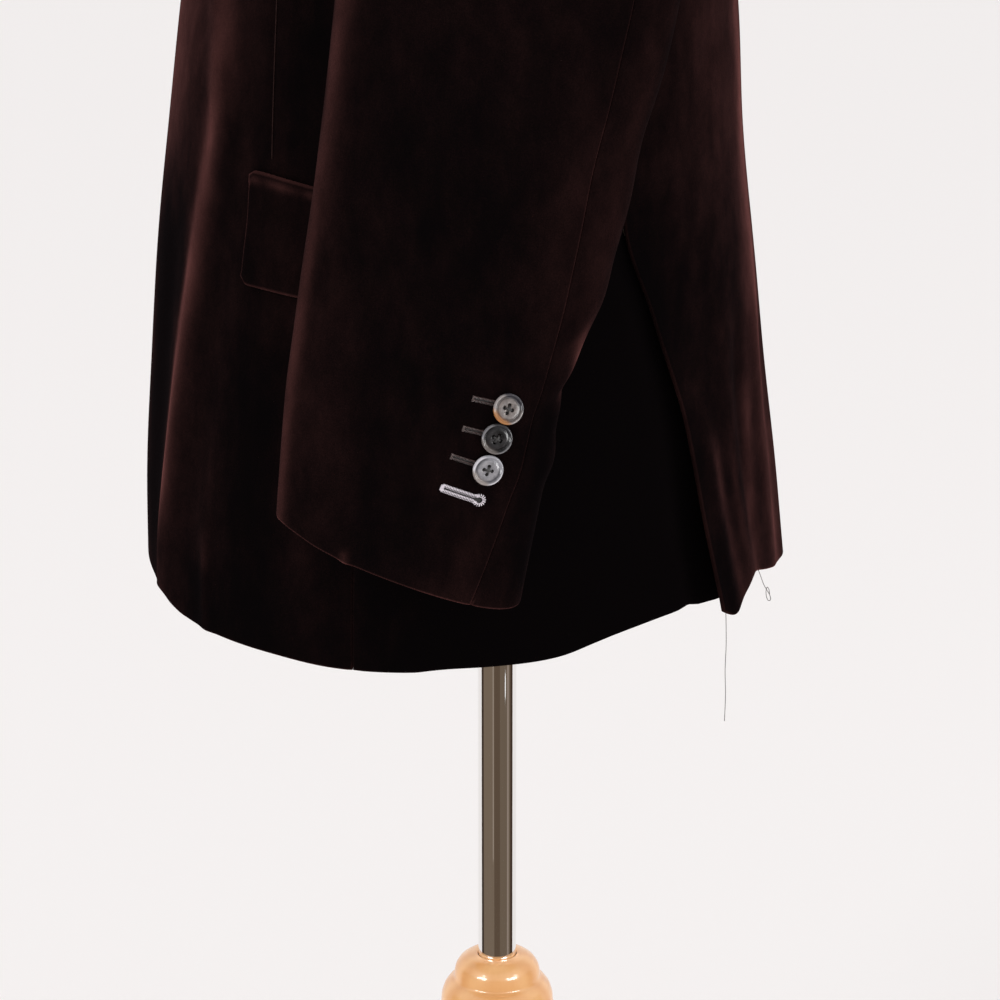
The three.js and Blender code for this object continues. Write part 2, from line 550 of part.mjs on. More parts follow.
// Buttons: a rimmed disc turned about its own axis, laid flat on a point of the cloth
function buttonAt(name, size, { point, normal }) {
  const { radius: r, thick: t, rim, dish } = size;
  const profile = [[0, 0], [r * 0.8, 0], [r, t * 0.45], [r * 0.94, t], [r - rim, t], [r - rim * 1.5, t - dish]];
  const points = [...profile, [0, t - dish]].map(([x, y]) => new THREE.Vector2(x, y));
  const mesh = add(name, new THREE.LatheGeometry(points, 14), horn);
  mesh.quaternion.setFromUnitVectors(vec(0, 1, 0), normal);
  mesh.position.add(point.clone().addScaledVector(normal, LAYER_GAP));
}
buttonAt('front_button', FRONT_BUTTON, skinAt(0, BUTTON_H, -1));

// The place on the sleeve's outer side that lies over a y and a height
function onSleeve(y, h) {
  let [turn, w] = [80, 0.1];
  for (let i = 0; i < 60; i += 1) {
    const p = sleevePoint(turn, w);
    turn += (p.y - y) * 0.4;
    w += (h - p.z) * 0.0012;
  }
  return sleeveSkin(turn, w);
}
for (const { name, y, h } of CUFF_BUTTONS) {
  const { point, normal } = onSleeve(y, h);
  const flip = (p) => vec(-p.x, p.y, p.z);
  buttonAt(`sleeve_button_left_${name}`, SLEEVE_BUTTON, { point, normal });
  buttonAt(`sleeve_button_right_${name}`, SLEEVE_BUTTON, { point: flip(point), normal: flip(normal) });
}

// The dress form: a torso that fills the coat's shoulders and stands clear of it lower down, joined
// to its neck, with a hole for the pole
const wasm = await Module();
wasm.setup();
const toSolid = (geometry) => new wasm.Manifold(new wasm.Mesh({
  numProp: 3,
  vertProperties: Float32Array.from(geometry.attributes.position.array),
  triVerts: Uint32Array.from(geometry.index.array),
}));
const torso = steps(15, (v) => {
  const low = v < 0.55;
  const count = 36;
  return steps(count - 1, (_, i) => {
    const degrees = (i + 0.5) * (360 / count);
    const [turn, flip] = degrees < 180 ? [degrees, 1] : [360 - degrees, -1];
    const rise = low ? 0 : (v - 0.55) / 0.45;
    const width = lerp(halfAt(FORM.chestH), FORM.shoulderX, smooth(rise * 1.3));
    const x = width * Math.sin(turn * DEG);
    const top = lerp(FORM.chestH, shoulderH(x), FORM.ridge * (1 - (1 - rise) ** 1.7));
    const h = low ? lerp(FORM.bottomH, FORM.chestH, v / 0.55) : top;
    const ease = -CLOTH - rowAt(FORM_EASE, 'h', h).ease;
    const { point } = low ? skin(turn, h, ease) : skinAt(x, h, turn < 90 ? -1 : 1, ease);
    return vec(point.x * flip, point.y, point.z);
  });
});
const zip = (n) => steps(n / 2 - 2, (_, i) => [i, i + 1, n - 2 - i]).concat(
  steps(n / 2 - 2, (_, i) => [i, n - 2 - i, n - 1 - i]),
);
const torsoSolid = toSolid(loft(torso, zip));
const neckSolid = wasm.Manifold.cylinder(NECK.top - NECK.rootH, 1, 1, 32)
  .scale([NECK.halfWidth, NECK.halfDepth, 1])
  .translate([0, NECK.y, NECK.rootH]);
const holeSolid = wasm.Manifold.cylinder(SOCKET.depth + 10, POLE_RADIUS + SOCKET.clearance, -1, 24)
  .translate([0, 0, FORM.bottomH - 10]);
const form = torsoSolid.add(neckSolid).subtract(holeSolid).getMesh();
const formGeometry = new THREE.BufferGeometry();
formGeometry.setAttribute('position', new THREE.BufferAttribute(form.vertProperties.slice(), form.numProp));
formGeometry.setIndex(Array.from(form.triVerts));
formGeometry.computeVertexNormals();
add('dress_form', formGeometry, linen);

// The steel pole, between the socket in the form and the one in the stand
const poleBottom = STAND_TOP - SOCKET.depth + SOCKET.clearance;
const poleTop = HEM_HEIGHT + FORM.bottomH + SOCKET.depth - SOCKET.clearance;
const pole = new THREE.CylinderGeometry(POLE_RADIUS, POLE_RADIUS, poleTop - poleBottom, 24);
add('pole', pole.rotateX(90 * DEG), steel, (poleTop + poleBottom) / 2);

// The turned wooden stand, from its flat foot up to the two domes round the pole
const bore = POLE_RADIUS + SOCKET.clearance;
const standProfile = [
  [0, 0], [180, 0], [183, 6], [180, 14], [160, 22], [112, 32], [70, 46], [46, 68], [34, 100], [28, 150],
  [28, 200], [34, 240], [42, 272], [44, 290], [40, 306], [33.5, 313], [33.5, 321], [31, 328], [25, 332],
  [23.5, 336], [22.5, 342], [18, STAND_TOP], [bore, STAND_TOP], [bore, STAND_TOP - SOCKET.depth],
  [0, STAND_TOP - SOCKET.depth],
].map(([r, z]) => new THREE.Vector2(r, z));
add('stand', new THREE.LatheGeometry(standProfile, 30).rotateX(90 * DEG), wood, 0);

export default part;
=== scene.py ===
# A dark brown velvet sport coat worn by a limbless dress form on a steel pole and a turned wooden
# stand. Metres, +Z up, the coat's front towards -Y; the tables are in millimetres above its hem.
import math

import bmesh
import bpy
import numpy as np
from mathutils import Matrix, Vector


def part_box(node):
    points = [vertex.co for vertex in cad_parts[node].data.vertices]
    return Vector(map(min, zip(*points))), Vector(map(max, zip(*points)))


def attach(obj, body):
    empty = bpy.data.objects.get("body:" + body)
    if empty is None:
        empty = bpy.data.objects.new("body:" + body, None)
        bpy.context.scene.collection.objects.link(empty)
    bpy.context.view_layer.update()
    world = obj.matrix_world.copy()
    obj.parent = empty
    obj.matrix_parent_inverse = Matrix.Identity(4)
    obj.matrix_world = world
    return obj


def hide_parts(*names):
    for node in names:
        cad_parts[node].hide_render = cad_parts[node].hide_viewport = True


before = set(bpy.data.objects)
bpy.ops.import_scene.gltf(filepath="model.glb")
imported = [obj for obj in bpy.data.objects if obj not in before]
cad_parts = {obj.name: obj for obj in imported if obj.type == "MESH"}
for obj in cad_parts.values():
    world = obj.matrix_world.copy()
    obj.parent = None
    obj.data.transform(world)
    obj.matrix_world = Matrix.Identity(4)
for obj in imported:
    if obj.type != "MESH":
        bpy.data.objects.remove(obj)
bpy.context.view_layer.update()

# The fronts. Each is one piece of velvet from the front edge to the side seam and from the hem to
# the shoulder, shaped by a dart above the pocket. The left one laps over the right one and buttons
# on it. This section also holds the body's form, the cloth's wall and the velvet, shared below.
def columns(names, *rows):
    """The rows of a table as dicts, under its column names."""
    return [dict(zip(names.split(), row)) for row in rows]


HEM = 600
CLOTH = 2.6
AROUND = 3.1
SEAM_GAP = 0.3
SHOULDER_GAP = 0.25
FRONT_OVERLAP = 19
UNDER_FRONT = 6.4
HEM_CORNER = dict(width=120, rise=24)
BUTTON_H = 336
BREAK_H = 356
BODY = columns(
    "h half mid front back front_power back_power",
    (0, 200, -40, -195.5, 161.5, 1.95, 1.5),
    (60, 196, -38, -194, 155, 1.95, 1.55),
    (120, 190, -32, -190, 147.5, 1.95, 1.66),
    (190, 183, -25, -184.2, 139, 1.95, 1.85),
    (250, 176, -20, -177.3, 132.5, 2.0, 2.0),
    (310, 169, -15, -169.3, 129, 2.05, 2.1),
    (356, 167, -11, -162, 124.5, 2.1, 2.15),
    (420, 177, -7, -155, 121, 2.1, 2.2),
    (490, 195, -3, -151, 126, 2.05, 2.25),
    (560, 222, 0, -149, 131, 2.1, 2.3),
    (620, 233, 4, -148, 132, 2.4, 2.5),
    (690, 236, 6, -148, 132, 2.9, 2.9),
    (790, 236, 6, -148, 132, 2.9, 2.9),
)
SHOULDER = dict(neck_x=66, neck_h=741, point_x=226, point_h=690, y=6)
ARCH = dict(start=560, front_power=1.62, back_power=1.9)
ARMHOLE = columns(
    "turn front back",
    (0, 73.7, 106.3),
    (36, 70.9, 108.4),
    (54, 67, 111.6),
    (72, 61.3, 116.2),
    (90, 57.6, 118.8),
    (108, 57.2, 118.6),
    (126, 62.5, 114),
    (146, 73, 105),
    (180, 90, 90),
)
ARMHOLE_MID = 590
ARMHOLE_REACH = 100
UNDERARM = dict(front=240, back=315)
FRONT_SEAM_HEM = 77
BACK_SEAM = columns(
    "h angle",
    (0, 150.6), (105, 143.3), (166, 134), (216, 125.2), (360, 116),
)
FOLDS = columns(
    "angle drift top height width",
    (29, 9, 330, 4.2, 6),
    (162, -13, 230, 5, 5.5),
)
ROLL_TOP = dict(x=60, h=728)


def clamp(t):
    return np.clip(t, 0, 1)


def smooth(t):
    t = clamp(t)
    return t * t * (3 - 2 * t)


def lerp(a, b, t):
    return a + (b - a) * t


def track(table, key, value):
    """Every column of a table at the values of its key column, on smooth curves through its rows."""
    names = list(table[0])
    rows = np.array([[row[n] for n in names] for row in table], float)
    k = rows[:, names.index(key)]
    slope = np.empty_like(rows)
    slope[1:-1] = (rows[2:] - rows[:-2]) / (k[2:] - k[:-2])[:, None]
    slope[0] = (rows[1] - rows[0]) / (k[1] - k[0])
    slope[-1] = (rows[-1] - rows[-2]) / (k[-1] - k[-2])
    v = np.clip(np.asarray(value, float), k[0], k[-1])
    i = np.clip(np.searchsorted(k, v, side="left") - 1, 0, len(k) - 2)
    span = k[i + 1] - k[i]
    t = ((v - k[i]) / span)[..., None]
    a, b = rows[i], rows[i + 1]
    p, q = slope[i] * span[..., None], slope[i + 1] * span[..., None]
    out = a + p * t + (3 * (b - a) - 2 * p - q) * t**2 + (2 * (a - b) + p + q) * t**3
    return {n: out[..., j] for j, n in enumerate(names)}


def sin(degrees):
    return np.sin(np.radians(degrees))


def cos(degrees):
    return np.cos(np.radians(degrees))


def half_at(h):
    return track(BODY, "h", h)["half"]


def shoulder_h(x):
    s = SHOULDER
    slope = (s["neck_h"] - s["point_h"]) / (s["point_x"] - s["neck_x"])
    inside = s["neck_h"] + slope * s["neck_x"] / 2 * (1 - (x / s["neck_x"]) ** 2)
    return np.where(np.abs(x) < s["neck_x"], inside, s["neck_h"] - (np.abs(x) - s["neck_x"]) * slope)


def body_y(x, h, side):
    """The y of the coat's surface over x and h, on the front (side -1) or the back (side 1)."""
    row = track(BODY, "h", h)
    ahead = side < 0
    power = np.where(ahead, row["front_power"], row["back_power"])
    reach = np.where(ahead, row["front"], row["back"]) - row["mid"]
    share = np.minimum(1, np.abs(x) / row["half"])
    y = row["mid"] + reach * (1 - share**power) ** (1 / power)
    arch = np.where(ahead, ARCH["front_power"], ARCH["back_power"])
    rise = clamp((h - ARCH["start"]) / (shoulder_h(x) - ARCH["start"]))
    ridge = SHOULDER["y"] + side * SHOULDER_GAP
    return np.where(h <= ARCH["start"], y, ridge + (y - ridge) * (1 - rise**arch) ** (1 / arch))


def surface(degrees, h):
    """Points at angles round the body from centre front and at heights."""
    degrees, h = np.broadcast_arrays(np.asarray(degrees, float), np.asarray(h, float))
    swell = 0
    for f in FOLDS:
        crest = f["angle"] + f["drift"] * h / f["top"]
        ridge = f["height"] * np.exp(-(((degrees - crest) / f["width"]) ** 2))
        swell = swell + ridge * smooth(1 - h / f["top"])
    x = half_at(h) * sin(degrees)
    y = body_y(x, h, np.where(degrees < 90, -1, 1))
    return np.stack([x + swell * sin(degrees), y - swell * cos(degrees), h], -1)


def unit(v):
    return v / np.maximum(np.linalg.norm(v, axis=-1, keepdims=True), 1e-12)


def skin(degrees, h, out=0.0):
    """Points of the surface moved out along its normals."""
    degrees, h = np.broadcast_arrays(np.asarray(degrees, float), np.asarray(h, float))
    low = np.minimum(h, shoulder_h(half_at(h) * sin(degrees)) - 0.02)
    along = surface(degrees + 0.002, low) - surface(degrees - 0.002, low)
    up = surface(degrees, low + 0.005) - surface(degrees, low - 0.005)
    normal = unit(np.cross(along, up))
    return surface(degrees, h) + normal * np.asarray(out, float)[..., None]


def angle_at(x, h, side):
    angle = np.degrees(np.arcsin(np.clip(x / half_at(h), -1, 1)))
    return np.where(side < 0, angle, 180 - angle)


def skin_at(x, h, side, out=0.0):
    return skin(angle_at(x, h, np.asarray(side)), h, out)


def armhole(turn):
    """Points of the armhole's edge; turn is 0 at its back, 90 at the shoulder, 180 at its front."""
    down = (np.asarray(turn, float) + 270) % 360
    fall = np.where(down > 180, 360 - down, down)
    row = track(ARMHOLE, "turn", fall)
    points = surface(np.where(down < 180, row["front"], row["back"]), ARMHOLE_MID + ARMHOLE_REACH * cos(fall))
    tip = np.array([SHOULDER["point_x"], SHOULDER["y"], SHOULDER["point_h"]], float)
    return np.where((fall < 0.01)[..., None], tip, points)


SEAM_TOP = dict(
    front_h=float(armhole(UNDERARM["front"])[2]),
    front_angle=float(track(ARMHOLE, "turn", UNDERARM["front"] - 90)["front"]),
    back_h=float(armhole(UNDERARM["back"])[2]),
    back_angle=float(track(ARMHOLE, "turn", 450 - UNDERARM["back"])["back"]),
)


def front_seam(h):
    return lerp(FRONT_SEAM_HEM, SEAM_TOP["front_angle"], h / SEAM_TOP["front_h"])


def back_seam(h):
    last = BACK_SEAM[-1]
    above = lerp(last["angle"], SEAM_TOP["back_angle"], (h - last["h"]) / (SEAM_TOP["back_h"] - last["h"]))
    return np.where(h < last["h"], track(BACK_SEAM, "h", h)["angle"], above)


def roll_line(h):
    return lerp(-FRONT_OVERLAP, ROLL_TOP["x"], (h - BREAK_H) / (ROLL_TOP["h"] - BREAK_H))


def front_edge(h):
    low = -FRONT_OVERLAP * smooth(h / 300) ** 0.8
    over = (h - ROLL_TOP["h"]) / (SHOULDER["neck_h"] - ROLL_TOP["h"])
    top = lerp(ROLL_TOP["x"], SHOULDER["neck_x"], smooth(over))
    return np.where(h < BREAK_H, low, np.where(h < ROLL_TOP["h"], roll_line(h), top))


OVERLAP_ZONE = dict(x=112, width=90, h=550, height=110)


def sink(x, h, depth):
    """How far the right front goes in where the left one laps over it."""
    zone = OVERLAP_ZONE
    near = smooth((zone["x"] - x) / zone["width"])
    return depth * near * smooth((zone["h"] - h) / zone["height"])


def creases(u, v, table):
    """Soft ridges and troughs between two points of a piece, each with its depth and width."""
    total = np.zeros(np.broadcast(u, v).shape)
    for c in table:
        du, dv = c["u1"] - c["u0"], c["v1"] - c["v0"]
        size = math.hypot(du, dv)
        along = ((u - c["u0"]) * du + (v - c["v0"]) * dv) / size**2
        across = ((u - c["u0"]) * dv - (v - c["v0"]) * du) / size
        across = across + c.get("bow", 0) * 4 * along * (1 - along)
        ends = smooth((along + 0.12) / 0.35) * smooth((1.12 - along) / 0.35)
        total = total + c["depth"] * np.exp(-((across / c["width"]) ** 2)) * ends
    return total


def ripple(points, size, height):
    """Faint unevenness of worn cloth, from a few waves with seeded directions."""
    rng = np.random.default_rng(4)
    total = 0
    for _ in range(9):
        way = unit(rng.normal(size=3) * [1, 1, 0.45])
        total = total + np.sin(points @ way * (6.28 * rng.uniform(0.6, 1.5) / size) + rng.uniform(0, 6.28))
    return total * height / 4.5


# Creases over the whole body: u is the angle round it from centre front times AROUND, v the height
BODY_CREASES = columns(
    "u0 v0 u1 v1 depth width bow",
    (76, -20, 113, 238, 2.2, 8, -2),
    (127, 236, 98, 352, 2.6, 11, -3),
    (50, -20, 74, 215, -2.6, 17),
    (104, -10, 136, 205, -1.4, 12),
    (134, -25, 132, 60, 1.6, 6),
    (60, 322, 150, 300, -1.2, 12, 5),
    (176, 20, 190, 160, -1.6, 15),
    (215, 10, 222, 120, 1.3, 15),
    (300, 0, 290, 140, -2.0, 18),
    (340, 150, 372, 330, -1.5, 16),
    (484, -25, 458, 105, 2.6, 7),
    (506, -25, 492, 150, -2.6, 8),
    (526, -25, 524, 190, 1.8, 9),
    (543, -25, 545, 150, -1.6, 9),
    (430, 330, 545, 345, 1.6, 11, 6),
    (440, 292, 530, 310, -1.4, 12, 4),
    (185, 590, 150, 490, -2.2, 13, 5),
    (205, 560, 178, 470, 1.8, 11),
    (370, 585, 405, 470, -2.4, 14, -5),
    (385, 520, 440, 430, 1.6, 13),
)
DART = dict(foot_u=167.5, foot=244, top_u=156, top=440, depth=1.2, width=1.2)
# How far the hem hangs below its plain line, by the angle round the body
HEM_WAVE = columns(
    "angle drop",
    (-20, 0), (19, 0), (22.5, -3.5), (25.5, -8), (29, -7.5), (32, -4), (35, -1.5), (45, -0.3),
    (60, 0.2), (72, 1.6), (88, 1.4), (100, 0.6), (110, 2), (118, 3.2), (123, 2.8), (128, 0.2),
    (133, -2), (142, -4), (148, -3.4), (150.6, -0.5), (152, 2.4), (153.6, 4.6), (155, 4),
    (156.6, 0.8), (158.4, -3.2), (160.5, -7.6), (163, -8.4), (167, -5), (172, -1.5), (176, 0),
    (200, 0),
)


def hung(angle, h):
    """The height of a point of the body once its hem hangs in its wave."""
    return h - track(HEM_WAVE, "angle", angle)["drop"] * smooth(1 - h / 80)


def body_worn(angle, h):
    """How far the worn cloth of the body stands out from its plain form."""
    u = angle * AROUND
    hole = np.hypot((angle - 90) / 33, (h - ARMHOLE_MID) / ARMHOLE_REACH)
    hold = smooth((hole - 1) / 0.3) * smooth((SHOULDER["point_h"] - 12 - h) / 70)
    button = 1 - 0.9 * np.exp(-(u**2 + (h - BUTTON_H) ** 2) / 30**2)
    return (creases(u, h, BODY_CREASES) + ripple(surface(angle, h), 120, 0.55)) * hold * button


def pile_lay(angle, h):
    """Painted light on the body's velvet: painted highlights along the fold crests and painted shade in
    patches, around 0.5.
    """
    u = angle * AROUND
    return clamp(creases(u, h, PILE_PAINTED_LIGHT) + 0.5)


# Painted light on the velvet: each row is a streak of painted highlight (depth above 0) or painted shade
# (depth below 0) from one point to another, in the same u and v as the creases
PILE_PAINTED_LIGHT = columns(
    "u0 v0 u1 v1 depth width bow",
    (30, 440, 40, 225, 0.32, 62),
    (112, 440, 119, 262, 0.34, 11),
    (121, 275, 103, 165, 0.44, 10, -2),
    (106, 185, 84, 40, 0.46, 10, -2),
    (134, -10, 132, 50, 0.1, 4),
    (128, -30, 128, 36, -0.2, 16),
    (60, 215, 50, 20, -0.2, 17),
    (168, 150, 175, -20, -0.2, 24),
    (330, -60, 330, 225, -0.35, 70),
    (448, 420, 454, 200, 0.12, 34),
    (524, 340, 530, 140, 0.42, 20),
    (530, 165, 538, -20, 0.34, 16),
    (503, -25, 508, 130, 0.26, 7),
    (492, -20, 464, 98, 0.24, 5),
    (498, -10, 478, 100, 0.14, 4),
)


def slid_in(points, inset):
    """The grid with its rows drawn in at both ends by inset, its points sliding along each row."""
    out = np.empty_like(points)
    for r, row in enumerate(points):
        far = np.concatenate([[0], np.cumsum(np.linalg.norm(np.diff(row, axis=0), axis=1))])
        goal = inset + far * (far[-1] - 2 * inset) / far[-1]
        out[r] = np.stack([np.interp(goal, far, row[:, k]) for k in range(3)], -1)
    return out


# Painted highlight on the rounded rims of a panel: first row, last row, first column, last column
RIM_HIGHLIGHT = (0.3, 0.3, 0.3, 0.3)
RIM_TURNS = (35, 65, 90, 115, 145)
RIM_SOFTNESS = 0.85
CORNER_SOFTNESS = 1.35


def cloth_shell(name, points, thick=CLOTH, flip=False, turned=1.0, lay=None, lift=RIM_HIGHLIGHT):
    """A wall of cloth from a grid of points on its outer face, with softly rounded edges.
    Its last argument adds painted highlight on the rounded rims of the first row, last row, first column,
    last column."""
    soft = thick / 2 * RIM_SOFTNESS * turned
    p = slid_in(np.array(points, float), soft)
    p = slid_in(p.transpose(1, 0, 2), soft).transpose(1, 0, 2)
    rows, cols = p.shape[:2]
    along = np.gradient(p, axis=1)
    up = np.gradient(p, axis=0)
    normal = unit(np.cross(along, up))
    if flip:
        normal = -normal
    border = [(0, c) for c in range(cols)] + [(r, cols - 1) for r in range(1, rows)]
    border += [(rows - 1, c) for c in range(cols - 2, -1, -1)] + [(r, 0) for r in range(rows - 2, 0, -1)]
    rr, cc = np.array(border).T
    side = np.select([rr == 0, rr == rows - 1], [-1.0, 1.0], 0.0)[:, None]
    end = np.select([cc == 0, cc == cols - 1], [-1.0, 1.0], 0.0)[:, None]
    edge = unit(up[rr, cc]) * side + unit(along[rr, cc]) * end
    n = normal[rr, cc]
    edge = unit(edge - n * (edge * n).sum(-1, keepdims=True))
    inner = p - normal * thick
    mid = p[rr, cc] - n * thick / 2
    reach = np.where((side != 0) & (end != 0), soft * CORNER_SOFTNESS, soft + 0.2)
    rim = []
    for phi in RIM_TURNS:
        c, s = math.cos(math.radians(phi)), math.sin(math.radians(phi))
        rim.append(mid + n * thick / 2 * c + edge * reach * s)
    verts = np.concatenate([p.reshape(-1, 3), inner.reshape(-1, 3), *rim])
    grid = np.arange(rows * cols).reshape(rows, cols)
    quads = np.stack([grid[:-1, :-1], grid[:-1, 1:], grid[1:, 1:], grid[1:, :-1]], -1).reshape(-1, 4)
    loops = [grid[rr, cc]]
    start = 2 * rows * cols
    for k in range(len(rim)):
        loops.append(start + k * len(rr) + np.arange(len(rr)))
    loops.append(grid[rr, cc] + rows * cols)
    strips = []
    for a, b in zip(loops, loops[1:]):
        strips.append(np.stack([a, b, np.roll(b, -1), np.roll(a, -1)], -1))
    faces = np.concatenate([quads, quads[:, ::-1] + rows * cols, *strips])
    if flip:
        faces = faces[:, ::-1]
    obj = mesh_piece(name, verts, faces)
    # Painted light per point, with the painted highlight added on the rims
    lay = np.full((rows, cols), 0.5) if lay is None else np.broadcast_to(lay, (rows, cols))
    lifted = np.select([rr == 0, rr == rows - 1, cc == 0], lift[:3], lift[3])
    values = np.concatenate([lay.reshape(-1), lay.reshape(-1), np.tile(lay[rr, cc] + lifted, len(rim))])
    obj.data.attributes.new("lay", "FLOAT", "POINT").data.foreach_set("value", values)
    return obj


def placed(name, data):
    """A new object in the scene."""
    obj = bpy.data.objects.new(name, data)
    bpy.context.scene.collection.objects.link(obj)
    return obj


def mesh_piece(name, verts, faces):
    """A smooth-shaded object from points in millimetres above the hem."""
    verts = (np.asarray(verts, float) + [0, 0, HEM]) / 1000
    mesh = bpy.data.meshes.new(name)
    mesh.from_pydata(verts.tolist(), [], [list(map(int, f)) for f in faces])
    mesh.shade_smooth()
    return placed(name, mesh)


class Socket:
    """A node's output that can be used in sums."""

    def __init__(self, shader, socket):
        self.shader, self.socket = shader, socket

    def __add__(self, other):
        return self.shader.math("ADD", self, other)

    def __radd__(self, other):
        return self.shader.math("ADD", other, self)

    def __sub__(self, other):
        return self.shader.math("SUBTRACT", self, other)

    def __rsub__(self, other):
        return self.shader.math("SUBTRACT", other, self)

    def __mul__(self, other):
        return self.shader.math("MULTIPLY", self, other)


class Shader:
    """A material whose nodes are added by one method."""

    def __init__(self, name):
        self.material = bpy.data.materials.new(name)
        self.material.use_nodes = True
        self.tree = self.material.node_tree
        self.tree.nodes.clear()
        out = self.tree.nodes.new("ShaderNodeOutputMaterial")
        self.surface = self.tree.nodes.new("ShaderNodeBsdfPrincipled")
        self.tree.links.new(self.surface.outputs[0], out.inputs["Surface"])

    def node(self, kind, settings=None, inputs=None, output=0):
        made = self.tree.nodes.new(kind)
        for key, value in (settings or {}).items():
            setattr(made, key, value)
        self.feed(made, inputs or {})
        return Socket(self, made.outputs[output])

    def feed(self, made, inputs):
        for key, value in inputs.items():
            if isinstance(value, Socket):
                self.tree.links.new(value.socket, made.inputs[key])
            else:
                made.inputs[key].default_value = value

    def math(self, operation, a, b=0.0, limit=False):
        return self.node("ShaderNodeMath", {"operation": operation, "use_clamp": limit}, {0: a, 1: b})

    def mix(self, factor, a, b):
        return self.node("ShaderNodeMix", {"data_type": "RGBA"}, {0: factor, 6: a, 7: b}, 2)

    def attribute(self, name):
        return self.node("ShaderNodeAttribute", {"attribute_name": name}, output=2)

    def limited(self, value):
        return self.math("MULTIPLY", value, 1.0, True)

    def place(self):
        return self.node("ShaderNodeTexCoord", output=3)

    def noise(self, scale, detail=2.0, rough=0.5, where=None):
        where = where or self.place()
        made = {"Vector": where, "Scale": scale, "Detail": detail, "Roughness": rough}
        return self.node("ShaderNodeTexNoise", None, made)

    def stretched(self, x, y, z):
        return self.node("ShaderNodeVectorMath", {"operation": "MULTIPLY"}, {0: self.place(), 1: (x, y, z)})

    def bump(self, height, distance, strength=1.0):
        made = {"Height": height, "Distance": distance, "Strength": strength}
        return self.node("ShaderNodeBump", None, made)

    def set(self, **inputs):
        self.feed(self.surface, {key.replace("_", " "): value for key, value in inputs.items()})
        return self.material

    def over(self, share, **inputs):
        """Lays a second finish over the first one, by a share from 0 to 1."""
        second = self.tree.nodes.new("ShaderNodeBsdfPrincipled")
        self.feed(second, {key.replace("_", " "): value for key, value in inputs.items()})
        mixed = self.tree.nodes.new("ShaderNodeMixShader")
        self.tree.links.new(share.socket, mixed.inputs[0])
        self.tree.links.new(self.surface.outputs[0], mixed.inputs[1])
        self.tree.links.new(second.outputs[0], mixed.inputs[2])
        self.tree.links.new(mixed.outputs[0], self.tree.nodes["Material Output"].inputs["Surface"])


def velvet(name):
    """Cotton velvet: a nearly black pile mixed with a reddish brown lit copy of itself, by random mottle and
    by painted light (painted highlights along folds and rims, painted shade elsewhere).
    """
    s = Shader(name)
    brushed = s.noise(11.0, 3.0, 0.6, s.stretched(1, 1, 0.4))
    mottled = s.noise(70.0, 4.0, 0.65, s.stretched(1, 1, 0.6))
    pile = s.noise(1500.0, 2.0, 0.6)
    lay = s.attribute("lay")
    # The lit copy's share: random mottle of the pile plus the painted light, which paints highlights along
    # folds and rims and shade elsewhere
    patches = (brushed - 0.5) * 0.7 + (mottled - 0.5) * 0.42 + (pile - 0.5) * 0.35
    share = s.math("MAXIMUM", patches + (lay - 0.5) * 1.3 + 0.265, 0.0)
    rough_pile = s.bump(pile + mottled * 0.6, 0.0006, 0.5)
    pile_looks = dict(Roughness=0.95, Specular_IOR_Level=0.0, Sheen_Weight=1.0, Normal=rough_pile)
    # A dark copy and a lit copy of one velvet, mixed by the painted light
    dark, dark_sheen = (0.0026, 0.0019, 0.0021, 1), (0.012, 0.009, 0.0098, 1)
    lit, lit_sheen = (0.066, 0.0245, 0.0222, 1), (0.28, 0.107, 0.1, 1)
    s.set(Base_Color=dark, Sheen_Roughness=0.3, Sheen_Tint=dark_sheen, **pile_looks)
    lit_share = s.math("POWER", share, 2.2, True)
    s.over(lit_share, Base_Color=lit, Sheen_Roughness=0.4, Sheen_Tint=lit_sheen, **pile_looks)
    return s.material


def fitted(obj, material, node=None):
    """Gives a piece its material, sets it on the one body and hides the node that it stands for."""
    obj.data.materials.append(material)
    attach(obj, "root")
    if node:
        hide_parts(node)


def mirrored(points):
    return points * [-1, 1, 1]


def sewn_pair(node, left, right, material, flat, area, rests_on=("dress_form",), flip=False, **cut):
    """Makes the left and the right panel from their grids, the right one mirrored."""
    pair = [cloth_shell(f"{node}_left_velvet", left, flip=flip, **cut)]
    pair.append(cloth_shell(f"{node}_right_velvet", mirrored(right), flip=not flip, **cut))
    for obj, side in zip(pair, ("left", "right")):
        fitted(obj, material, f"{node}_{side}")
        list(rests_on)
    return pair


HALF_GAP = SEAM_GAP / 2 / AROUND
LOW_TOP = BREAK_H * 14 / 12
FRONT_LOW_SHARE = 14 / 24
BACK_LOW_SHARE = 14 / 23


def panel_edges(v, low_share, hole_turns, seam_top, seam):
    """The upper share of each row of a panel, its free edge's height, and its other edge's x and
    height, which run up the side seam and then round the armhole."""
    low, high = clamp(v / low_share), clamp((v - low_share) / (1 - low_share))
    climb = 0.6 * sin(high * 90) + 0.4 * high
    edge_h = np.where(v < low_share, LOW_TOP * low, lerp(LOW_TOP, SHOULDER["neck_h"], climb))
    hole = armhole(lerp(*hole_turns, high))
    seam_h = low * seam_top
    seam_x = half_at(seam_h) * sin(seam(seam_h))
    return high, edge_h, np.where(high > 0, hole[..., 0], seam_x), np.where(high > 0, hole[..., 2], seam_h)


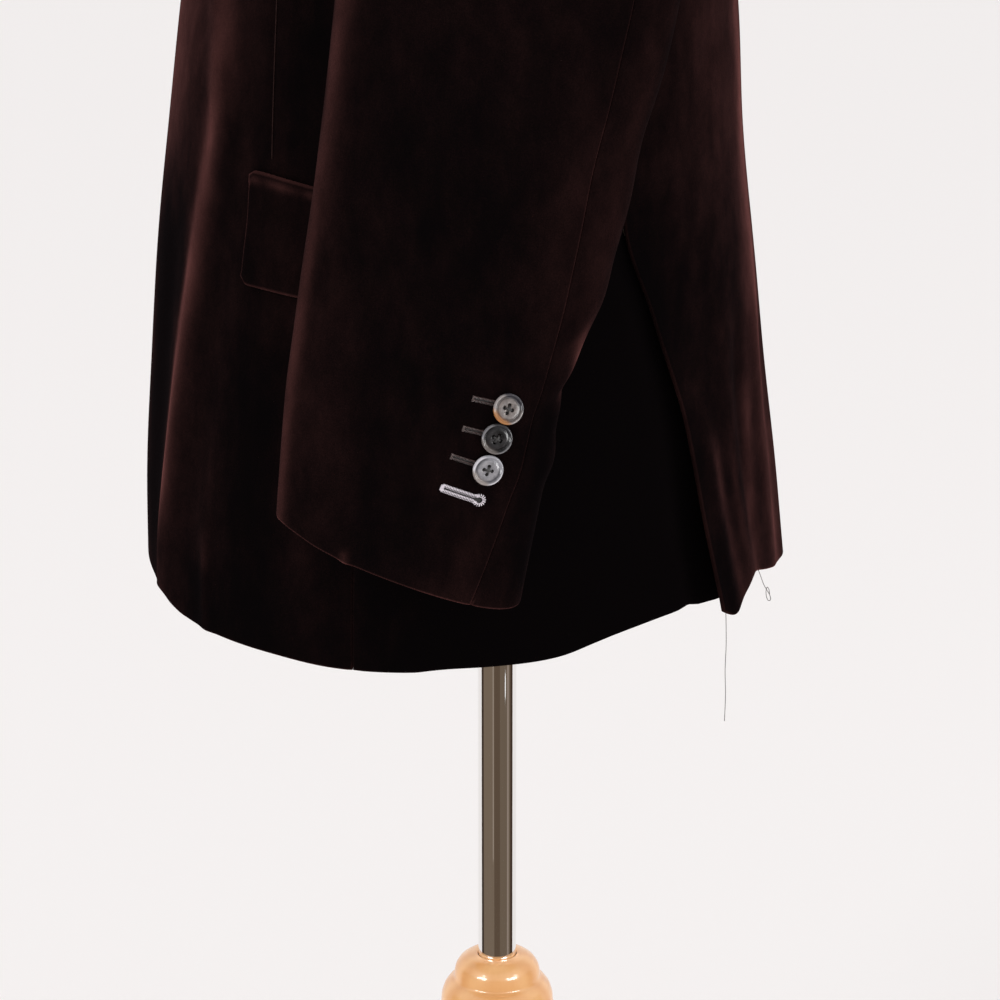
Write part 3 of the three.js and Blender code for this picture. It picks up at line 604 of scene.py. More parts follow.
def front_points(depth):
    """The grid of one front: rows from the hem to the shoulder, columns to the side seam."""
    v = np.linspace(0, 1, 170)[:, None]
    s = np.linspace(0, 1, 120)[None, :]
    turns = (UNDERARM["front"], 90)
    high, edge_h, side_x, side_h = panel_edges(
        v, FRONT_LOW_SHARE, turns, SEAM_TOP["front_h"], lambda h: front_seam(h) - HALF_GAP
    )
    edge_x = front_edge(edge_h)
    share = lerp(sin(s * 76) / sin(76), s, smooth((v - 0.55) / 0.3))
    x = lerp(edge_x, side_x, share)
    inside = clamp(1 - (x - edge_x) / HEM_CORNER["width"])
    corner = HEM_CORNER["rise"] * (1 - np.sqrt(1 - inside**2))
    h = lerp(edge_h, side_h, share) + corner * clamp(1 - v / 0.25)
    angle = angle_at(x, h, -1)
    at_dart = lerp(DART["foot_u"], DART["top_u"], (h - DART["foot"]) / (DART["top"] - DART["foot"]))
    dart = -DART["depth"] * np.exp(-(((angle * AROUND - at_dart) / DART["width"]) ** 2))
    dart = dart * smooth((DART["top"] - h) / 40) * smooth((h - DART["foot"] - 3) / 4)
    out = body_worn(angle, h) + dart - sink(x, h, depth)
    return skin(angle, hung(angle, h), out), pile_lay(angle, h)


points, lay = front_points(0)
under = front_points(UNDER_FRONT)[0]
fronts = sewn_pair(
    "front", points, under, velvet("velvet_front"), (0.29, 0.84), 0.185, lay=lay, lift=(0.3, 0, 0.3, 0.1)
)


def tubes(name, paths, radius, sides=6):
    """Thin round threads along paths of points, all in one mesh."""
    verts, faces = [], []
    for path in paths:
        p = np.asarray(path, float)
        way = unit(np.gradient(p, axis=0))
        first = unit(np.cross(way, [0.31, 0.52, 0.79]))
        second = np.cross(way, first)
        start = len(verts)
        for i in range(len(p)):
            for k in range(sides):
                a = 2 * math.pi * k / sides
                verts.append(p[i] + (first[i] * math.cos(a) + second[i] * math.sin(a)) * radius)
        for i in range(start, start + (len(p) - 1) * sides, sides):
            for k in range(sides):
                m = (k + 1) % sides
                faces.append((i + k, i + m, i + sides + m, i + sides + k))
        last = start + (len(p) - 1) * sides
        faces.append(tuple(start + k for k in reversed(range(sides))))
        faces.append(tuple(last + k for k in range(sides)))
    return mesh_piece(name, verts, faces)


# The dart's seam is a fine welt, coloured lighter than the velvet as a painted highlight along it, broken up
# by a noise
welt = Shader("velvet_welt")
# This noise breaks up the painted highlight along the welt
worn = welt.noise(160.0, 2.0, 0.6)
welt.set(
    Base_Color=welt.mix(worn, (0.008, 0.004, 0.0038, 1), (0.045, 0.025, 0.023, 1)),
    Roughness=0.95,
    Specular_IOR_Level=0.0,
    Sheen_Weight=1.0,
    Sheen_Tint=(0.1, 0.05, 0.046, 1),
)
steps = np.linspace(0, 1, 70)
dart_h = lerp(DART["foot"] + 7, DART["top"], steps)
dart_u = lerp(DART["foot_u"], DART["top_u"], steps)
line = skin(dart_u / AROUND, dart_h, body_worn(dart_u / AROUND, dart_h) - 0.05)
for side, word in ((1, "left"), (-1, "right")):
    fitted(tubes(f"dart_welt_{word}", [line * [side, 1, 1]], 0.22, 8), welt.material)

# The side bodies, the narrow panels under the arms. Below the vent's top each one runs on behind
# the back as a plain underlap.
VENT = dict(top=216, underlap=11, tuck=4, hem_tuck=6, flare=12, flare_width=15)


def side_points():
    v = np.linspace(0, 1, 116)[:, None]
    s = np.linspace(0, 1, 56)[None, :]
    fall = lerp(UNDERARM["front"], UNDERARM["back"], s)
    h = v * armhole(fall)[..., 2]
    opened = smooth((VENT["top"] - h) / 30)
    seam = back_seam(h) - HALF_GAP

    def spread(first, last, lap):
        main = lerp(first, last - 3.5, s / 0.75)
        return np.where(s < 0.75, main, lerp(last - 3.5, last + lap, (s - 0.75) / 0.25))

    row_f, row_b = track(ARMHOLE, "turn", fall - 90), track(ARMHOLE, "turn", 450 - fall)
    goal = np.where(fall < 270, row_f["front"], row_b["back"])
    shift = goal - spread(SEAM_TOP["front_angle"], SEAM_TOP["back_angle"], 0)
    angle = spread(front_seam(h) + HALF_GAP, seam, VENT["underlap"] * opened)
    angle = angle + shift * smooth((v - 0.6) / 0.4)
    tuck = lerp(VENT["hem_tuck"], VENT["tuck"], clamp(h / VENT["top"])) * smooth((VENT["top"] + 34 - h) / 30)
    out = body_worn(angle, h) - tuck * smooth((angle - seam + 7) / 6.5)
    # Painted light, with painted shade on the back part of the side body low down, under the arm
    lay = clamp(pile_lay(angle, h) - 0.22 * smooth((240 - h) / 60) * smooth((s - 0.3) / 0.2))
    return skin(angle, hung(np.minimum(angle, seam), h), out), lay


points, lay = side_points()
cut = dict(lay=lay, lift=(0.2, 0, 0.06, 0.1))
sewn_pair("side_body", points, points, velvet("velvet_side"), (0.27, 0.6), 0.083, **cut)

# The backs, seamed at centre back. Below the vent's top each one's free edge stands away from the
# side body, so that light catches its turned edge.
def vent_flare(angle, h):
    """How far the free edge stands away, most at the hem and along the vent."""
    opened = clamp(1 - h / VENT["top"]) ** 1.25
    return VENT["flare"] * opened * (1 - clamp((angle - back_seam(h)) / VENT["flare_width"])) ** 1.6


def back_points():
    v = np.linspace(0, 1, 160)[:, None]
    s = np.linspace(0, 1, 90)[None, :]
    turns = (UNDERARM["back"], 450)
    high, mid_h, side_x, side_h = panel_edges(
        v, BACK_LOW_SHARE, turns, SEAM_TOP["back_h"], lambda h: back_seam(h) + HALF_GAP
    )
    share = lerp(1 - (1 - s) ** 0.85, s, smooth((v - 0.6) / 0.3))
    x = lerp(side_x, SEAM_GAP / 2, share)
    flat = lerp(side_h, mid_h, share)
    line = np.minimum(shoulder_h(x), SHOULDER["neck_h"]) - flat
    h = flat + line * high**2.5 * smooth((high - 0.3) / 0.6)
    angle = 180 - np.degrees(np.arcsin(clamp(x / half_at(h))))
    return skin(angle, hung(angle, h), vent_flare(angle, h) + body_worn(angle, h)), pile_lay(angle, h)


points, lay = back_points()
cut = dict(lay=lay, lift=(0.25, 0, 0.2, 0.05))
sewn_pair("back", points, points, velvet("velvet_back"), (0.275, 0.84), 0.165, **cut)

# The sleeves, each of a top sleeve and a narrower under sleeve seamed along the forearm and the
# hindarm. The cuff's opening is sewn shut under its buttons.
SLEEVE = columns(
    "u front_y front_h back_y back_h x half seam",
    (0, -106, 95, 12, 50, 237, 30, 57),
    (0.11, -103, 131, 20.5, 96, 237, 32.5, 45.5),
    (0.2, -100, 160, 27, 132, 236.5, 33.5, 38),
    (0.28, -96, 187, 37, 166, 236, 34.5, 38.5),
    (0.38, -91, 222, 51, 206, 235.5, 35.5, 43.5),
    (0.5, -85, 266, 66, 256, 235, 37, 47.5),
    (0.64, -78, 318, 80, 314, 234.5, 37.5, 48),
    (0.78, -73, 372, 90, 372, 234, 37, 46),
    (0.9, -73, 424, 94, 424, 233.5, 36.5, 44.5),
    (1, -77, 468, 95, 468, 233.5, 36, 43),
)
FOREARM_SEAM = 206
SLEEVE_AROUND = 1.05
SLEEVE_POWER = 0.88
CUFF_DIP = 5
TURN_GAP = 0.13
SLEEVE_CREASES = columns(
    "u0 v0 u1 v1 depth width bow",
    (-40, 168, 44, 146, -2.6, 7),
    (-40, 128, 48, 118, 3.0, 10),
    (-30, 285, 60, 262, -2.5, 22),
    (-40, 205, 45, 200, 1.8, 14),
    (60, 300, 150, 345, -1.8, 13, 4),
    (50, 335, 140, 388, 1.5, 12, -4),
    (178, 60, 182, 250, 1.2, 9),
    (150, 70, 160, 240, -1.2, 11),
    (118, 60, 121, 104, 1.8, 3.5),
    (70, 480, 120, 560, -1.6, 16, 4),
    (160, 500, 200, 580, -2.0, 13, 4),
    (200, 430, 250, 330, -2.2, 13, 4),
)


# Painted light on the sleeves: streaks of painted highlight (depth above 0) and painted shade (depth below
# 0), in the same turn and height as the creases
SLEEVE_PAINTED_LIGHT = columns(
    "u0 v0 u1 v1 depth width",
    (11, 180, 9, 148, 0.2, 8),
    (174, 235, 164, 620, 0.36, 14),
    (176, 50, 173, 260, 0.26, 8),
    (30, 186, -12, 168, 0.3, 9),
    (-20, 150, -14, 40, -0.1, 20),
    (20, 160, 24, 40, -0.16, 20),
    (30, 215, 34, 420, 0.14, 14),
    (119, 66, 120, 84, 0.32, 2.5),
    (95, 60, 100, 330, -0.08, 34),
)


def sleeve_point(turn, w):
    """Points round the sleeve (0 back, 90 outside) and along it: cuff 0, upper arm 1, armhole 2."""
    turn, w = np.broadcast_arrays(np.asarray(turn, float), np.asarray(w, float))
    row = track(SLEEVE, "u", np.minimum(w, 1))

    def bend(t):
        return np.sign(t) * np.abs(t) ** SLEEVE_POWER

    along, across = bend(cos(turn)), bend(sin(turn))
    y = (row["back_y"] + row["front_y"]) / 2 + (row["back_y"] - row["front_y"]) / 2 * along
    h = (row["back_h"] + row["front_h"]) / 2 + (row["back_h"] - row["front_h"]) / 2 * along
    dip = CUFF_DIP * sin(turn) * smooth(1 - w / 0.2)
    start = np.stack([row["x"] + row["half"] * across, y, h - dip], -1)
    t = np.maximum(w - 1, 0)[..., None]
    top = ((1 + sin(turn)) / 2)[..., None]
    end = armhole(turn) + np.concatenate([SEAM_GAP + 0.1 + 0 * top, 0 * top, 0.9 * (1 - top)], -1)
    size = np.linalg.norm(start - end, axis=-1, keepdims=True)
    leave = size * 1.05 * np.array([0, 0, 1.0])
    arrive = np.concatenate([-top, 0 * top, 0.95 * (1 - top) + 0.1], -1) * size * (1.15 - 0.3 * top)
    a, b = 2 * t**3 - 3 * t**2 + 1, 3 * t**2 - 2 * t**3
    over = start * a + end * b + leave * (t**3 - 2 * t**2 + t) + arrive * (t**3 - t**2)
    return np.where((w <= 1)[..., None], start, over)


def sleeve_skin(turn, w, out=0.0):
    below, above = np.maximum(w - 0.004, 0), np.minimum(w + 0.004, 2)
    around = sleeve_point(turn - 0.5, w) - sleeve_point(turn + 0.5, w)
    up = sleeve_point(turn, above) - sleeve_point(turn, below)
    return sleeve_point(turn, w) + unit(np.cross(around, up)) * np.asarray(out, float)[..., None]


def hindarm(w):
    return track(SLEEVE, "u", np.minimum(w, 1))["seam"] + 2 * np.maximum(w - 1, 0)


def forearm(w):
    return FOREARM_SEAM + 4 * np.maximum(w - 1, 0)


def signed(turn):
    return np.where(turn > 300, turn - 360, turn)


def sleeve_worn(turn, w):
    """How far the worn cloth of a sleeve stands out from its plain form."""
    place = sleeve_point(turn, w)
    hold = smooth((2 - w) / 0.25)
    worn = creases(signed(turn) * SLEEVE_AROUND, place[..., 2], SLEEVE_CREASES)
    return (worn + ripple(place, 110, 0.5)) * hold


def sleeve_grid(first, last, cols):
    v = np.linspace(0, 1, 170)[:, None]
    s = np.linspace(0, 1, cols)[None, :]
    w = np.where(v < 0.7, v / 0.7, 1 + (v - 0.7) / 0.3)
    gap = TURN_GAP * (1 + 2.2 * np.maximum(w - 1, 0))
    turn = lerp(first(w) + gap, last(w) - gap, s)
    # Painted light over the sleeve, from the table of painted highlights and shade
    lay = clamp(0.5 + creases(signed(turn) * SLEEVE_AROUND, sleeve_point(turn, w)[..., 2], SLEEVE_PAINTED_LIGHT))
    return sleeve_skin(turn, w, sleeve_worn(turn, w)), lay


velvet_sleeve = velvet("velvet_sleeve")
points, lay = sleeve_grid(hindarm, forearm, 90)
cut = dict(flip=True, lay=lay, lift=(0.3, 0, 0.15, 0.13))
sewn_pair("top_sleeve", points, points, velvet_sleeve, (0.275, 0.7), 0.118, **cut)
points, lay = sleeve_grid(forearm, lambda w: hindarm(w) + 360, 70)
cut = dict(flip=True, lay=lay, lift=(0.3, 0, 0, 0))
sewn_pair("under_sleeve", points, points, velvet_sleeve, (0.335, 0.68), 0.112, **cut)

# The flaps of the two side pockets: velvet over a lining, jetted into the pocket's mouth along the
# top edge and free along the other three, with two small rounded corners.
FLAP = dict(top=244, depth=58, start=50, length=152, cloth=3, corner=4.5, top_corner=3)
FLAP_SAG = 5
LAYER_GAP = 0.35


def rounded(inset, radius):
    near = radius - np.minimum(inset, radius)
    return radius - np.sqrt(radius**2 - near**2)


def flap_points():
    v = np.linspace(0, 1, 36)[:, None]
    s = np.linspace(0, 1, 130)[None, :]
    s = s - 0.012 * np.sin(s * 2 * np.pi)
    inset = np.minimum(s, 1 - s) * FLAP["length"]
    bottom = FLAP["top"] - FLAP["depth"] + rounded(inset, FLAP["corner"])
    h = lerp(bottom, FLAP["top"] - rounded(inset, FLAP["top_corner"]), v)
    h = h - FLAP_SAG * smooth(s / 0.35) * (0.45 + 0.55 * v)
    angle = FLAP["start"] + FLAP["length"] / 2.72 * s - 1.1 * (1 - v)
    pucker = 0.5 + 0.5 * np.sin(s * 61 + 1.3 * np.sin(s * 23))
    band = np.exp(-(((v - 0.95) / 0.045) ** 2))
    out = LAYER_GAP + FLAP["cloth"] + body_worn(angle, h) + band * (0.35 + 0.35 * pucker)
    # The second value is painted light: a painted highlight on the puckers of the band along the top
    return skin(angle, h, out), 0.5 + band * (0.16 + 0.16 * pucker)


points, lay = flap_points()
cut = dict(thick=FLAP["cloth"], turned=1.3, lay=lay)
sewn_pair("pocket_flap", points, points, velvet("velvet_flap"), (0.164, 0.059), 0.0095, fronts, **cut)

# The lapels, cut in one with the fronts' facings and rolled back from the roll line. Each is
# notched where the collar joins it.
GORGE = dict(x=45, h=659)
LAPEL_TIP = dict(x=117, h=640)
LAPEL_BELLY = 9
LAPEL_GAP = 0.95


def lapel_points(depth):
    v = np.linspace(0, 1, 110)[:, None]
    s = np.linspace(0, 1, 48)[None, :]
    inner_h = lerp(BREAK_H + 6, GORGE["h"], v)
    inner_x = roll_line(inner_h) - 1
    bow = LAPEL_BELLY * np.sin(np.pi * v) + 5 * (1 - v)
    edge_h = lerp(BREAK_H + 6, LAPEL_TIP["h"], v)
    edge_x = lerp(roll_line(BREAK_H + 6), LAPEL_TIP["x"], v**0.92) + bow
    x, h = lerp(inner_x, edge_x, s), lerp(inner_h, edge_h, s)
    roll = 2.2 * (1 - s) ** 3 * smooth((v - 0.25) / 0.4)
    worn = body_worn(angle_at(x, h, -1), h)
    return skin_at(x, h, -1, LAPEL_GAP + CLOTH + roll + worn - sink(x, h, depth))


left, right = lapel_points(0), lapel_points(UNDER_FRONT)
sewn_pair("lapel", left, right, velvet("velvet_lapel"), (0.096, 0.337), 0.0205, fronts)

# The collar: a stand sewn round the neckline, and the fall that turns over it and ends in the two
# notches. Both are stiffened with undercollar cloth, so they keep their shape.
def softened(node, name):
    """A smooth copy of a node's cloth, with its flat rims rounded."""
    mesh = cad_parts[node].data.copy()
    mesh.name = name
    made = bmesh.new()
    made.from_mesh(mesh)
    bmesh.ops.remove_doubles(made, verts=made.verts, dist=1e-5)
    limits = dict(angle_face_threshold=math.radians(40), angle_shape_threshold=math.radians(60))
    bmesh.ops.join_triangles(made, faces=made.faces, **limits)
    made.to_mesh(mesh)
    made.free()
    mesh.materials.clear()
    mesh.shade_smooth()
    obj = placed(name, mesh)
    smoother = obj.modifiers.new("rounded", "SUBSURF")
    smoother.levels = smoother.render_levels = 2
    return obj


velvet_collar = velvet("velvet_collar")
collar_stand = softened("collar_stand", "collar_stand_velvet")
collar_fall = softened("collar_fall", "collar_fall_velvet")
for obj, node, flat, area in (
    (collar_stand, "collar_stand", (0.46, 0.036), 0.0102),
    (collar_fall, "collar_fall", (0.5, 0.085), 0.036),
):
    fitted(obj, velvet_collar, node)

# The buttons: turned discs with a rim, a dish and four holes, sewn on with dark thread that crosses
# between the holes. The three on the left cuff don't match: pale horn, smoky grey and silver grey.
SLEEVE_BUTTON = dict(radius=7.5, thick=3.0, dish=0.8)
FRONT_BUTTON = dict(radius=10, thick=4.0, dish=1.1)
# Each is a share of the radius and a height: above the back, above the rim's top, above the dish
BUTTON_BACK = [(0, 0), (0.72, 0), (0.86, 0.25), (0.95, 0.8), (1, 1.35), (1, 1.75)]
BUTTON_RIM = [(0.99, -0.5), (0.965, -0.18), (0.925, 0), (0.885, -0.12), (0.84, -0.5)]
BUTTON_DISH = [(0.8, -0.2), (0.75, -0.28), (0.7, -0.15), (0.66, 0), (0.6, 0.06), (0.4, -0.05), (0, -0.1)]


def on_sleeve(y, h):
    """The turn and the place along the left sleeve that lie at a y and a height on its outside."""
    y, h = np.broadcast_arrays(np.asarray(y, float), np.asarray(h, float))
    turn, w = np.full(y.shape, 80.0), np.full(y.shape, 0.1)
    for _ in range(90):
        p = sleeve_point(turn, w)
        turn = turn + (p[..., 1] - y) * 0.4
        w = w + (h - p[..., 2]) * 0.0012
    return turn, w


def lathe(profile, sides):
    """Vertices and faces of a profile of (radius, height) turned about +Z."""
    verts, faces, rings = [], [], []
    for r, z in profile:
        if r < 1e-6:
            rings.append([len(verts)] * sides)
            verts.append((0, 0, z))
            continue
        rings.append(list(range(len(verts), len(verts) + sides)))
        for k in range(sides):
            a = 2 * math.pi * k / sides
            verts.append((r * math.cos(a), r * math.sin(a), z))
    for low, high in zip(rings, rings[1:]):
        for k in range(sides):
            m = (k + 1) % sides
            face = list(dict.fromkeys([low[k], low[m], high[m], high[k]]))
            faces.append(face)
    return np.array(verts, float), faces


def frame_of(normal, spin=0.0):
    """Two directions across a normal, turned by spin, as rows with the normal last."""
    up = np.array([0, 0, 1.0])
    side = unit(np.cross(up, normal))
    rise = np.cross(normal, side)
    c, s = math.cos(math.radians(spin)), math.sin(math.radians(spin))
    return np.array([side * c + rise * s, rise * c - side * s, normal])


HOLE_REACH = 0.27
HOLE_RADIUS = 0.125
BUTTON_SIDES = 64


def sewn_button(name, node, size, spin, place, normal, material, thread, tilt=(0, 0)):
    """A four-hole button with its thread, on a point of the cloth."""
    r, t = size["radius"], size["thick"]
    floor = t - size["dish"]
    profile = [(r * share, z) for share, z in BUTTON_BACK]
    profile += [(r * share, t + z) for share, z in BUTTON_RIM]
    profile += [(r * share, floor + z) for share, z in BUTTON_DISH]
    verts, faces = lathe(profile, BUTTON_SIDES)
    facing = unit(normal + np.array([0, tilt[0], tilt[1]]))
    axes = frame_of(facing, spin)
    origin = np.asarray(place, float) + normal * LAYER_GAP
    obj = mesh_piece(name, verts @ axes + origin, faces)
    obj.data.materials.append(material)
    holes = []
    reach = r * HOLE_REACH
    for x, y in ((reach, 0), (0, reach), (-reach, 0), (0, -reach)):
        drill = r * HOLE_RADIUS
        ring, sides = lathe([(0, -1), (drill, -1), (drill, t + 1), (0, t + 1)], 20)
        holes.append((ring + [x, y, 0], sides))
    cut_verts, cut_faces = [], []
    for ring, sides in holes:
        cut_faces += [[i + len(cut_verts) for i in f] for f in sides]
        cut_verts += list(ring)
    cutter = mesh_piece(name + "_holes", np.array(cut_verts) @ axes + origin, cut_faces)
    cut = obj.modifiers.new("holes", "BOOLEAN")
    cut.object, cut.operation, cut.solver = cutter, "DIFFERENCE", "EXACT"
    bpy.context.view_layer.update()
    ready = bpy.data.meshes.new_from_object(obj.evaluated_get(bpy.context.evaluated_depsgraph_get()))
    obj.modifiers.clear()
    obj.data = ready
    bpy.data.objects.remove(cutter)
    local = np.array([v.co for v in ready.vertices]) * 1000 - [0, 0, HEM] - origin
    across, rise = frame_of(facing)[:2]
    ring = np.hypot(local @ across, local @ rise) / r
    lean = (local @ across + local @ rise) / r / 1.414
    for key, values in (("ring", ring), ("lean", lean)):
        ready.attributes.new(key, "FLOAT", "POINT").data.foreach_set("value", values)
    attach(obj, "root")
    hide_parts(node)
    paths = []
    for k in range(2):
        for shift in (-0.24, 0.24):
            ends = [(-reach, -2.2), (-reach * 0.9, floor - 0.1), (-reach * 0.45, floor + 0.3)]
            ends.append((0, floor + 0.42))
            ends += [(-a, b) for a, b in reversed(ends[:-1])]
            line = np.array([(a, shift, b + 0.16 * k) for a, b in ends])
            if k:
                line = line[:, [1, 0, 2]]
            paths.append(line @ axes + origin)
    fitted(tubes(name + "_thread", paths, 0.27, 8), thread)


def horn(name, low, high, groove, rim, warm, cool):
    """Polished horn or its imitation: cloudy and glossy, with painted shade in its groove and a painted
    highlight on its rim. It is warmer on its lower side towards the front and cooler on the opposite one,
    partly the horn's own tint and partly painted light and shade on the two sides of its rim."""
    s = Shader(name)
    ring, lean = s.attribute("ring"), s.attribute("lean")
    mottled = s.noise(260.0, 3.0, 0.6)
    base = s.mix(s.limited((mottled - 0.35) * 3.0), low, high)
    off = (ring - 0.77) * 12.0
    # Painted shade in the groove, then a painted highlight on the rim
    base = s.mix(s.math("EXPONENT", 0.0 - off * off) * 0.85, base, groove)
    base = s.mix(s.limited((ring - 0.85) * 14.0), base, rim)
    outer = s.limited((ring - 0.6) * 5.0)
    # The rim's two sides: partly the horn's own tint, partly painted light and shade
    base = s.mix(s.limited((0.0 - lean - 0.5) * 4.0) * outer, base, warm)
    base = s.mix(s.limited((lean - 0.35) * 4.0) * outer * 0.9, base, cool)
    s.set(
        Base_Color=base,
        Roughness=0.2 + mottled * 0.12,
        Specular_IOR_Level=0.16,
        Coat_Weight=0.14,
        Coat_Roughness=0.05,
    )
    return s.material


def thread_material(name, colour, rough=0.6):
    s = Shader(name)
    twist = s.noise(2600.0, 1.0)
    darker = tuple(c * 0.6 for c in colour[:3]) + (1,)
    s.set(Base_Color=s.mix(twist, darker, colour), Roughness=rough, Normal=s.bump(twist, 0.0002, 0.6))
    return s.material


# After the name: two cloudy tones, the groove's painted shade, the rim's painted highlight, and the tints of
# the rim's lower front and opposite sides, partly painted light and shade
pale_horn = horn(
    "horn_pale", (0.1, 0.082, 0.078, 1), (0.25, 0.215, 0.2, 1), (0.05, 0.04, 0.038, 1),
    (0.36, 0.33, 0.32, 1), (0.42, 0.19, 0.07, 1), (0.03, 0.03, 0.04, 1),
)
smoky_horn = horn(
    "horn_smoky", (0.006, 0.0055, 0.006, 1), (0.03, 0.027, 0.029, 1), (0.003, 0.003, 0.0035, 1),
    (0.2, 0.195, 0.205, 1), (0.16, 0.14, 0.13, 1), (0.03, 0.03, 0.034, 1),
)
grey_horn = horn(
    "horn_grey", (0.19, 0.188, 0.2, 1), (0.36, 0.35, 0.37, 1), (0.06, 0.06, 0.07, 1),
    (0.66, 0.64, 0.68, 1), (0.32, 0.28, 0.26, 1), (0.36, 0.36, 0.39, 1),
)
dark_thread = thread_material("thread_dark", (0.012, 0.008, 0.008, 1))
CUFF_BUTTONS = columns(
    "name h y spin material tilt",
    ("upper", 154.3, 4.9, -21, pale_horn, (0.05, 0.2)),
    ("middle", 140, -0.3, -35, smoky_horn, (-0.04, 0.08)),
    ("lower", 124.7, -4.6, -16, grey_horn, (0.0, 0.0)),
)
for row in CUFF_BUTTONS:
    key, spin = row["name"], row["spin"]
    turn, w = on_sleeve(row["y"], row["h"])
    spot = sleeve_skin(turn, w, 0)
    out = unit(sleeve_skin(turn, w, 1) - spot)
    name = f"sleeve_button_left_{key}"
    looks = (row["material"], dark_thread, row["tilt"])
    sewn_button(name + "_horn", name, SLEEVE_BUTTON, spin, spot, out, *looks)
    name = f"sleeve_button_right_{key}"
    spot, out = mirrored(spot), mirrored(out)
    sewn_button(name + "_horn", name, SLEEVE_BUTTON, -spin, spot, out, smoky_horn, dark_thread)
spot = skin_at(0.0, BUTTON_H, -1)
out = unit(skin_at(0.0, BUTTON_H, -1, 1) - spot)
sewn_button("front_button_horn", "front_button", FRONT_BUTTON, 45, spot, out, smoky_horn, dark_thread)

# The buttonholes, worked by machine with thread over a slit that ends in an eyelet. Four on each
# cuff, of which the lowest left one is in white and lilac thread, and one in the left front.
HOLES = columns(
    "name y0 h0 y1 h1",
    ("first", -10.9, 160.1, 11.5, 153.8),
    ("second", -15.6, 145.5, 6.8, 138.8),
    ("third", -21.2, 131.9, 1.0, 123.4),
    ("fourth", -25.6, 116.4, -6.4, 108.6),
)
STITCH = dict(radius=0.24, length=0.95, pitch=0.62, slit=0.36, eyelet=1.2)
BOLD_STITCH = dict(radius=0.3, length=1.5, pitch=0.74, slit=0.5, eyelet=1.6)


def buttonhole_paths(length, stitch):
    """Stitches across both sides of a slit and round its eyelet, as (along, across, out) points."""
    paths = []
    slit, eye, reach = stitch["slit"], stitch["eyelet"], stitch["length"]
    straight = length - 2 * eye
    count = int(straight / stitch["pitch"])
    lines = []
    for k in range(count + 1):
        a = straight * k / count
        near_eye = smooth((a - straight + 2.2) / 2.2) * 0.6
        lines.append((a, slit + near_eye, 0, 1))
        lines.append((a, -slit - near_eye, 0, -1))
    middle = straight + eye * 0.75
    for k in range(13):
        turn = math.radians(-138 + 276 * k / 12)
        lines.append((middle + eye * math.cos(turn), eye * math.sin(turn), math.cos(turn), math.sin(turn)))
    for k in range(5):
        lines.append((0.5, (k - 2) * 0.62, -1, 0))
    for a, b, x, y in lines:
        size = math.hypot(x, y)
        x, y = x / size, y / size
        steps = [(0, -0.1), (0.12, 0.32), (0.45, 0.4), (0.8, 0.32), (1, -0.05)]
        paths.append([(a + x * reach * k, b + y * reach * k, out) for k, out in steps])
    return paths


def cuff_place(hole, side):
    """Turns buttonhole points into places on a cuff."""
    way = np.array([hole["y1"] - hole["y0"], hole["h1"] - hole["h0"]])
    length = math.hypot(*way)
    way = way / length

    def place(points):
        p = np.asarray(points, float)
        y = hole["y0"] + way[0] * p[..., 0] - way[1] * p[..., 1]
        h = hole["h0"] + way[1] * p[..., 0] + way[0] * p[..., 1]
        turn, w = on_sleeve(y, h)
        return sleeve_skin(turn, w, sleeve_worn(turn, w) + p[..., 2]) * [side, 1, 1]

    return place, length


def worked_hole(name, place, length, material, stitch=STITCH):
    paths = np.array(buttonhole_paths(length, stitch))
    fitted(tubes(name, place(paths), stitch["radius"]), material)
    # A dark strip in the slit is painted shade
    along = np.linspace(0, length - 1.2, 12)
    wide = np.where(along > length - 4, 1.1, 0.34)
    strip = np.stack([np.stack([along, across, 0 * along + 0.08], -1) for across in (wide, -wide)])
    verts = place(strip).reshape(-1, 3)
    faces = [(i, i + 1, i + 13, i + 12) for i in range(11)]
    fitted(mesh_piece(name + "_slit", verts, faces), slit_shade)


# Painted shade for the buttonholes' slits
slit_shade = thread_material("slit_shade", (0.004, 0.003, 0.003, 1), 0.9)
brown_thread = thread_material("thread_brown", (0.085, 0.045, 0.04, 1))
lilac_thread = thread_material("thread_lilac", (1.0, 0.92, 1.0, 1), 0.5)
for hole in HOLES:
    for side, word in ((1, "left"), (-1, "right")):
        place, length = cuff_place(hole, side)
        odd = hole["name"] == "fourth" and side == 1
        looks = (lilac_thread, BOLD_STITCH) if odd else (brown_thread, STITCH)
        worked_hole(f"cuff_hole_{word}_{hole['name']}", place, length, *looks)


def front_place(points):
    p = np.asarray(points, float)
    x, h = 25 - p[..., 0], BUTTON_H + p[..., 1]
    return skin_at(x, h, -1, p[..., 2] + body_worn(angle_at(x, h, -1), h))


worked_hole("front_hole", front_place, 26, brown_thread)

# Loose ends of dark thread at the hem of the back panel: one long end that hangs straight down and
# a short one in a loop.
THREAD = 0.36
LOOSE = columns(
    "name angle out fall",
    (
        "thread_end_long", 152.1, -1.5,
        [(0, 0, 0), (0.4, 0.3, -8), (-0.2, 0.6, -20), (0.2, 0.3, -34), (-0.1, 0.8, -48), (0.1, 0.5, -63)],
    ),
    (
        "thread_end_loop", 163.5, 0.5,
        [
            (0, 0, 0), (0.6, 1.6, -4), (0.2, 3.4, -9), (-0.4, 5.2, -12.5), (-0.6, 7.2, -16), (0, 7.6, -18.4),
            (0.5, 6.2, -18.6), (0.6, 5.2, -16), (0.4, 5, -13), (0, 5.6, -11.2), (-0.3, 6.6, -12.6),
            (-0.2, 7, -15.5),
        ],
    ),
)


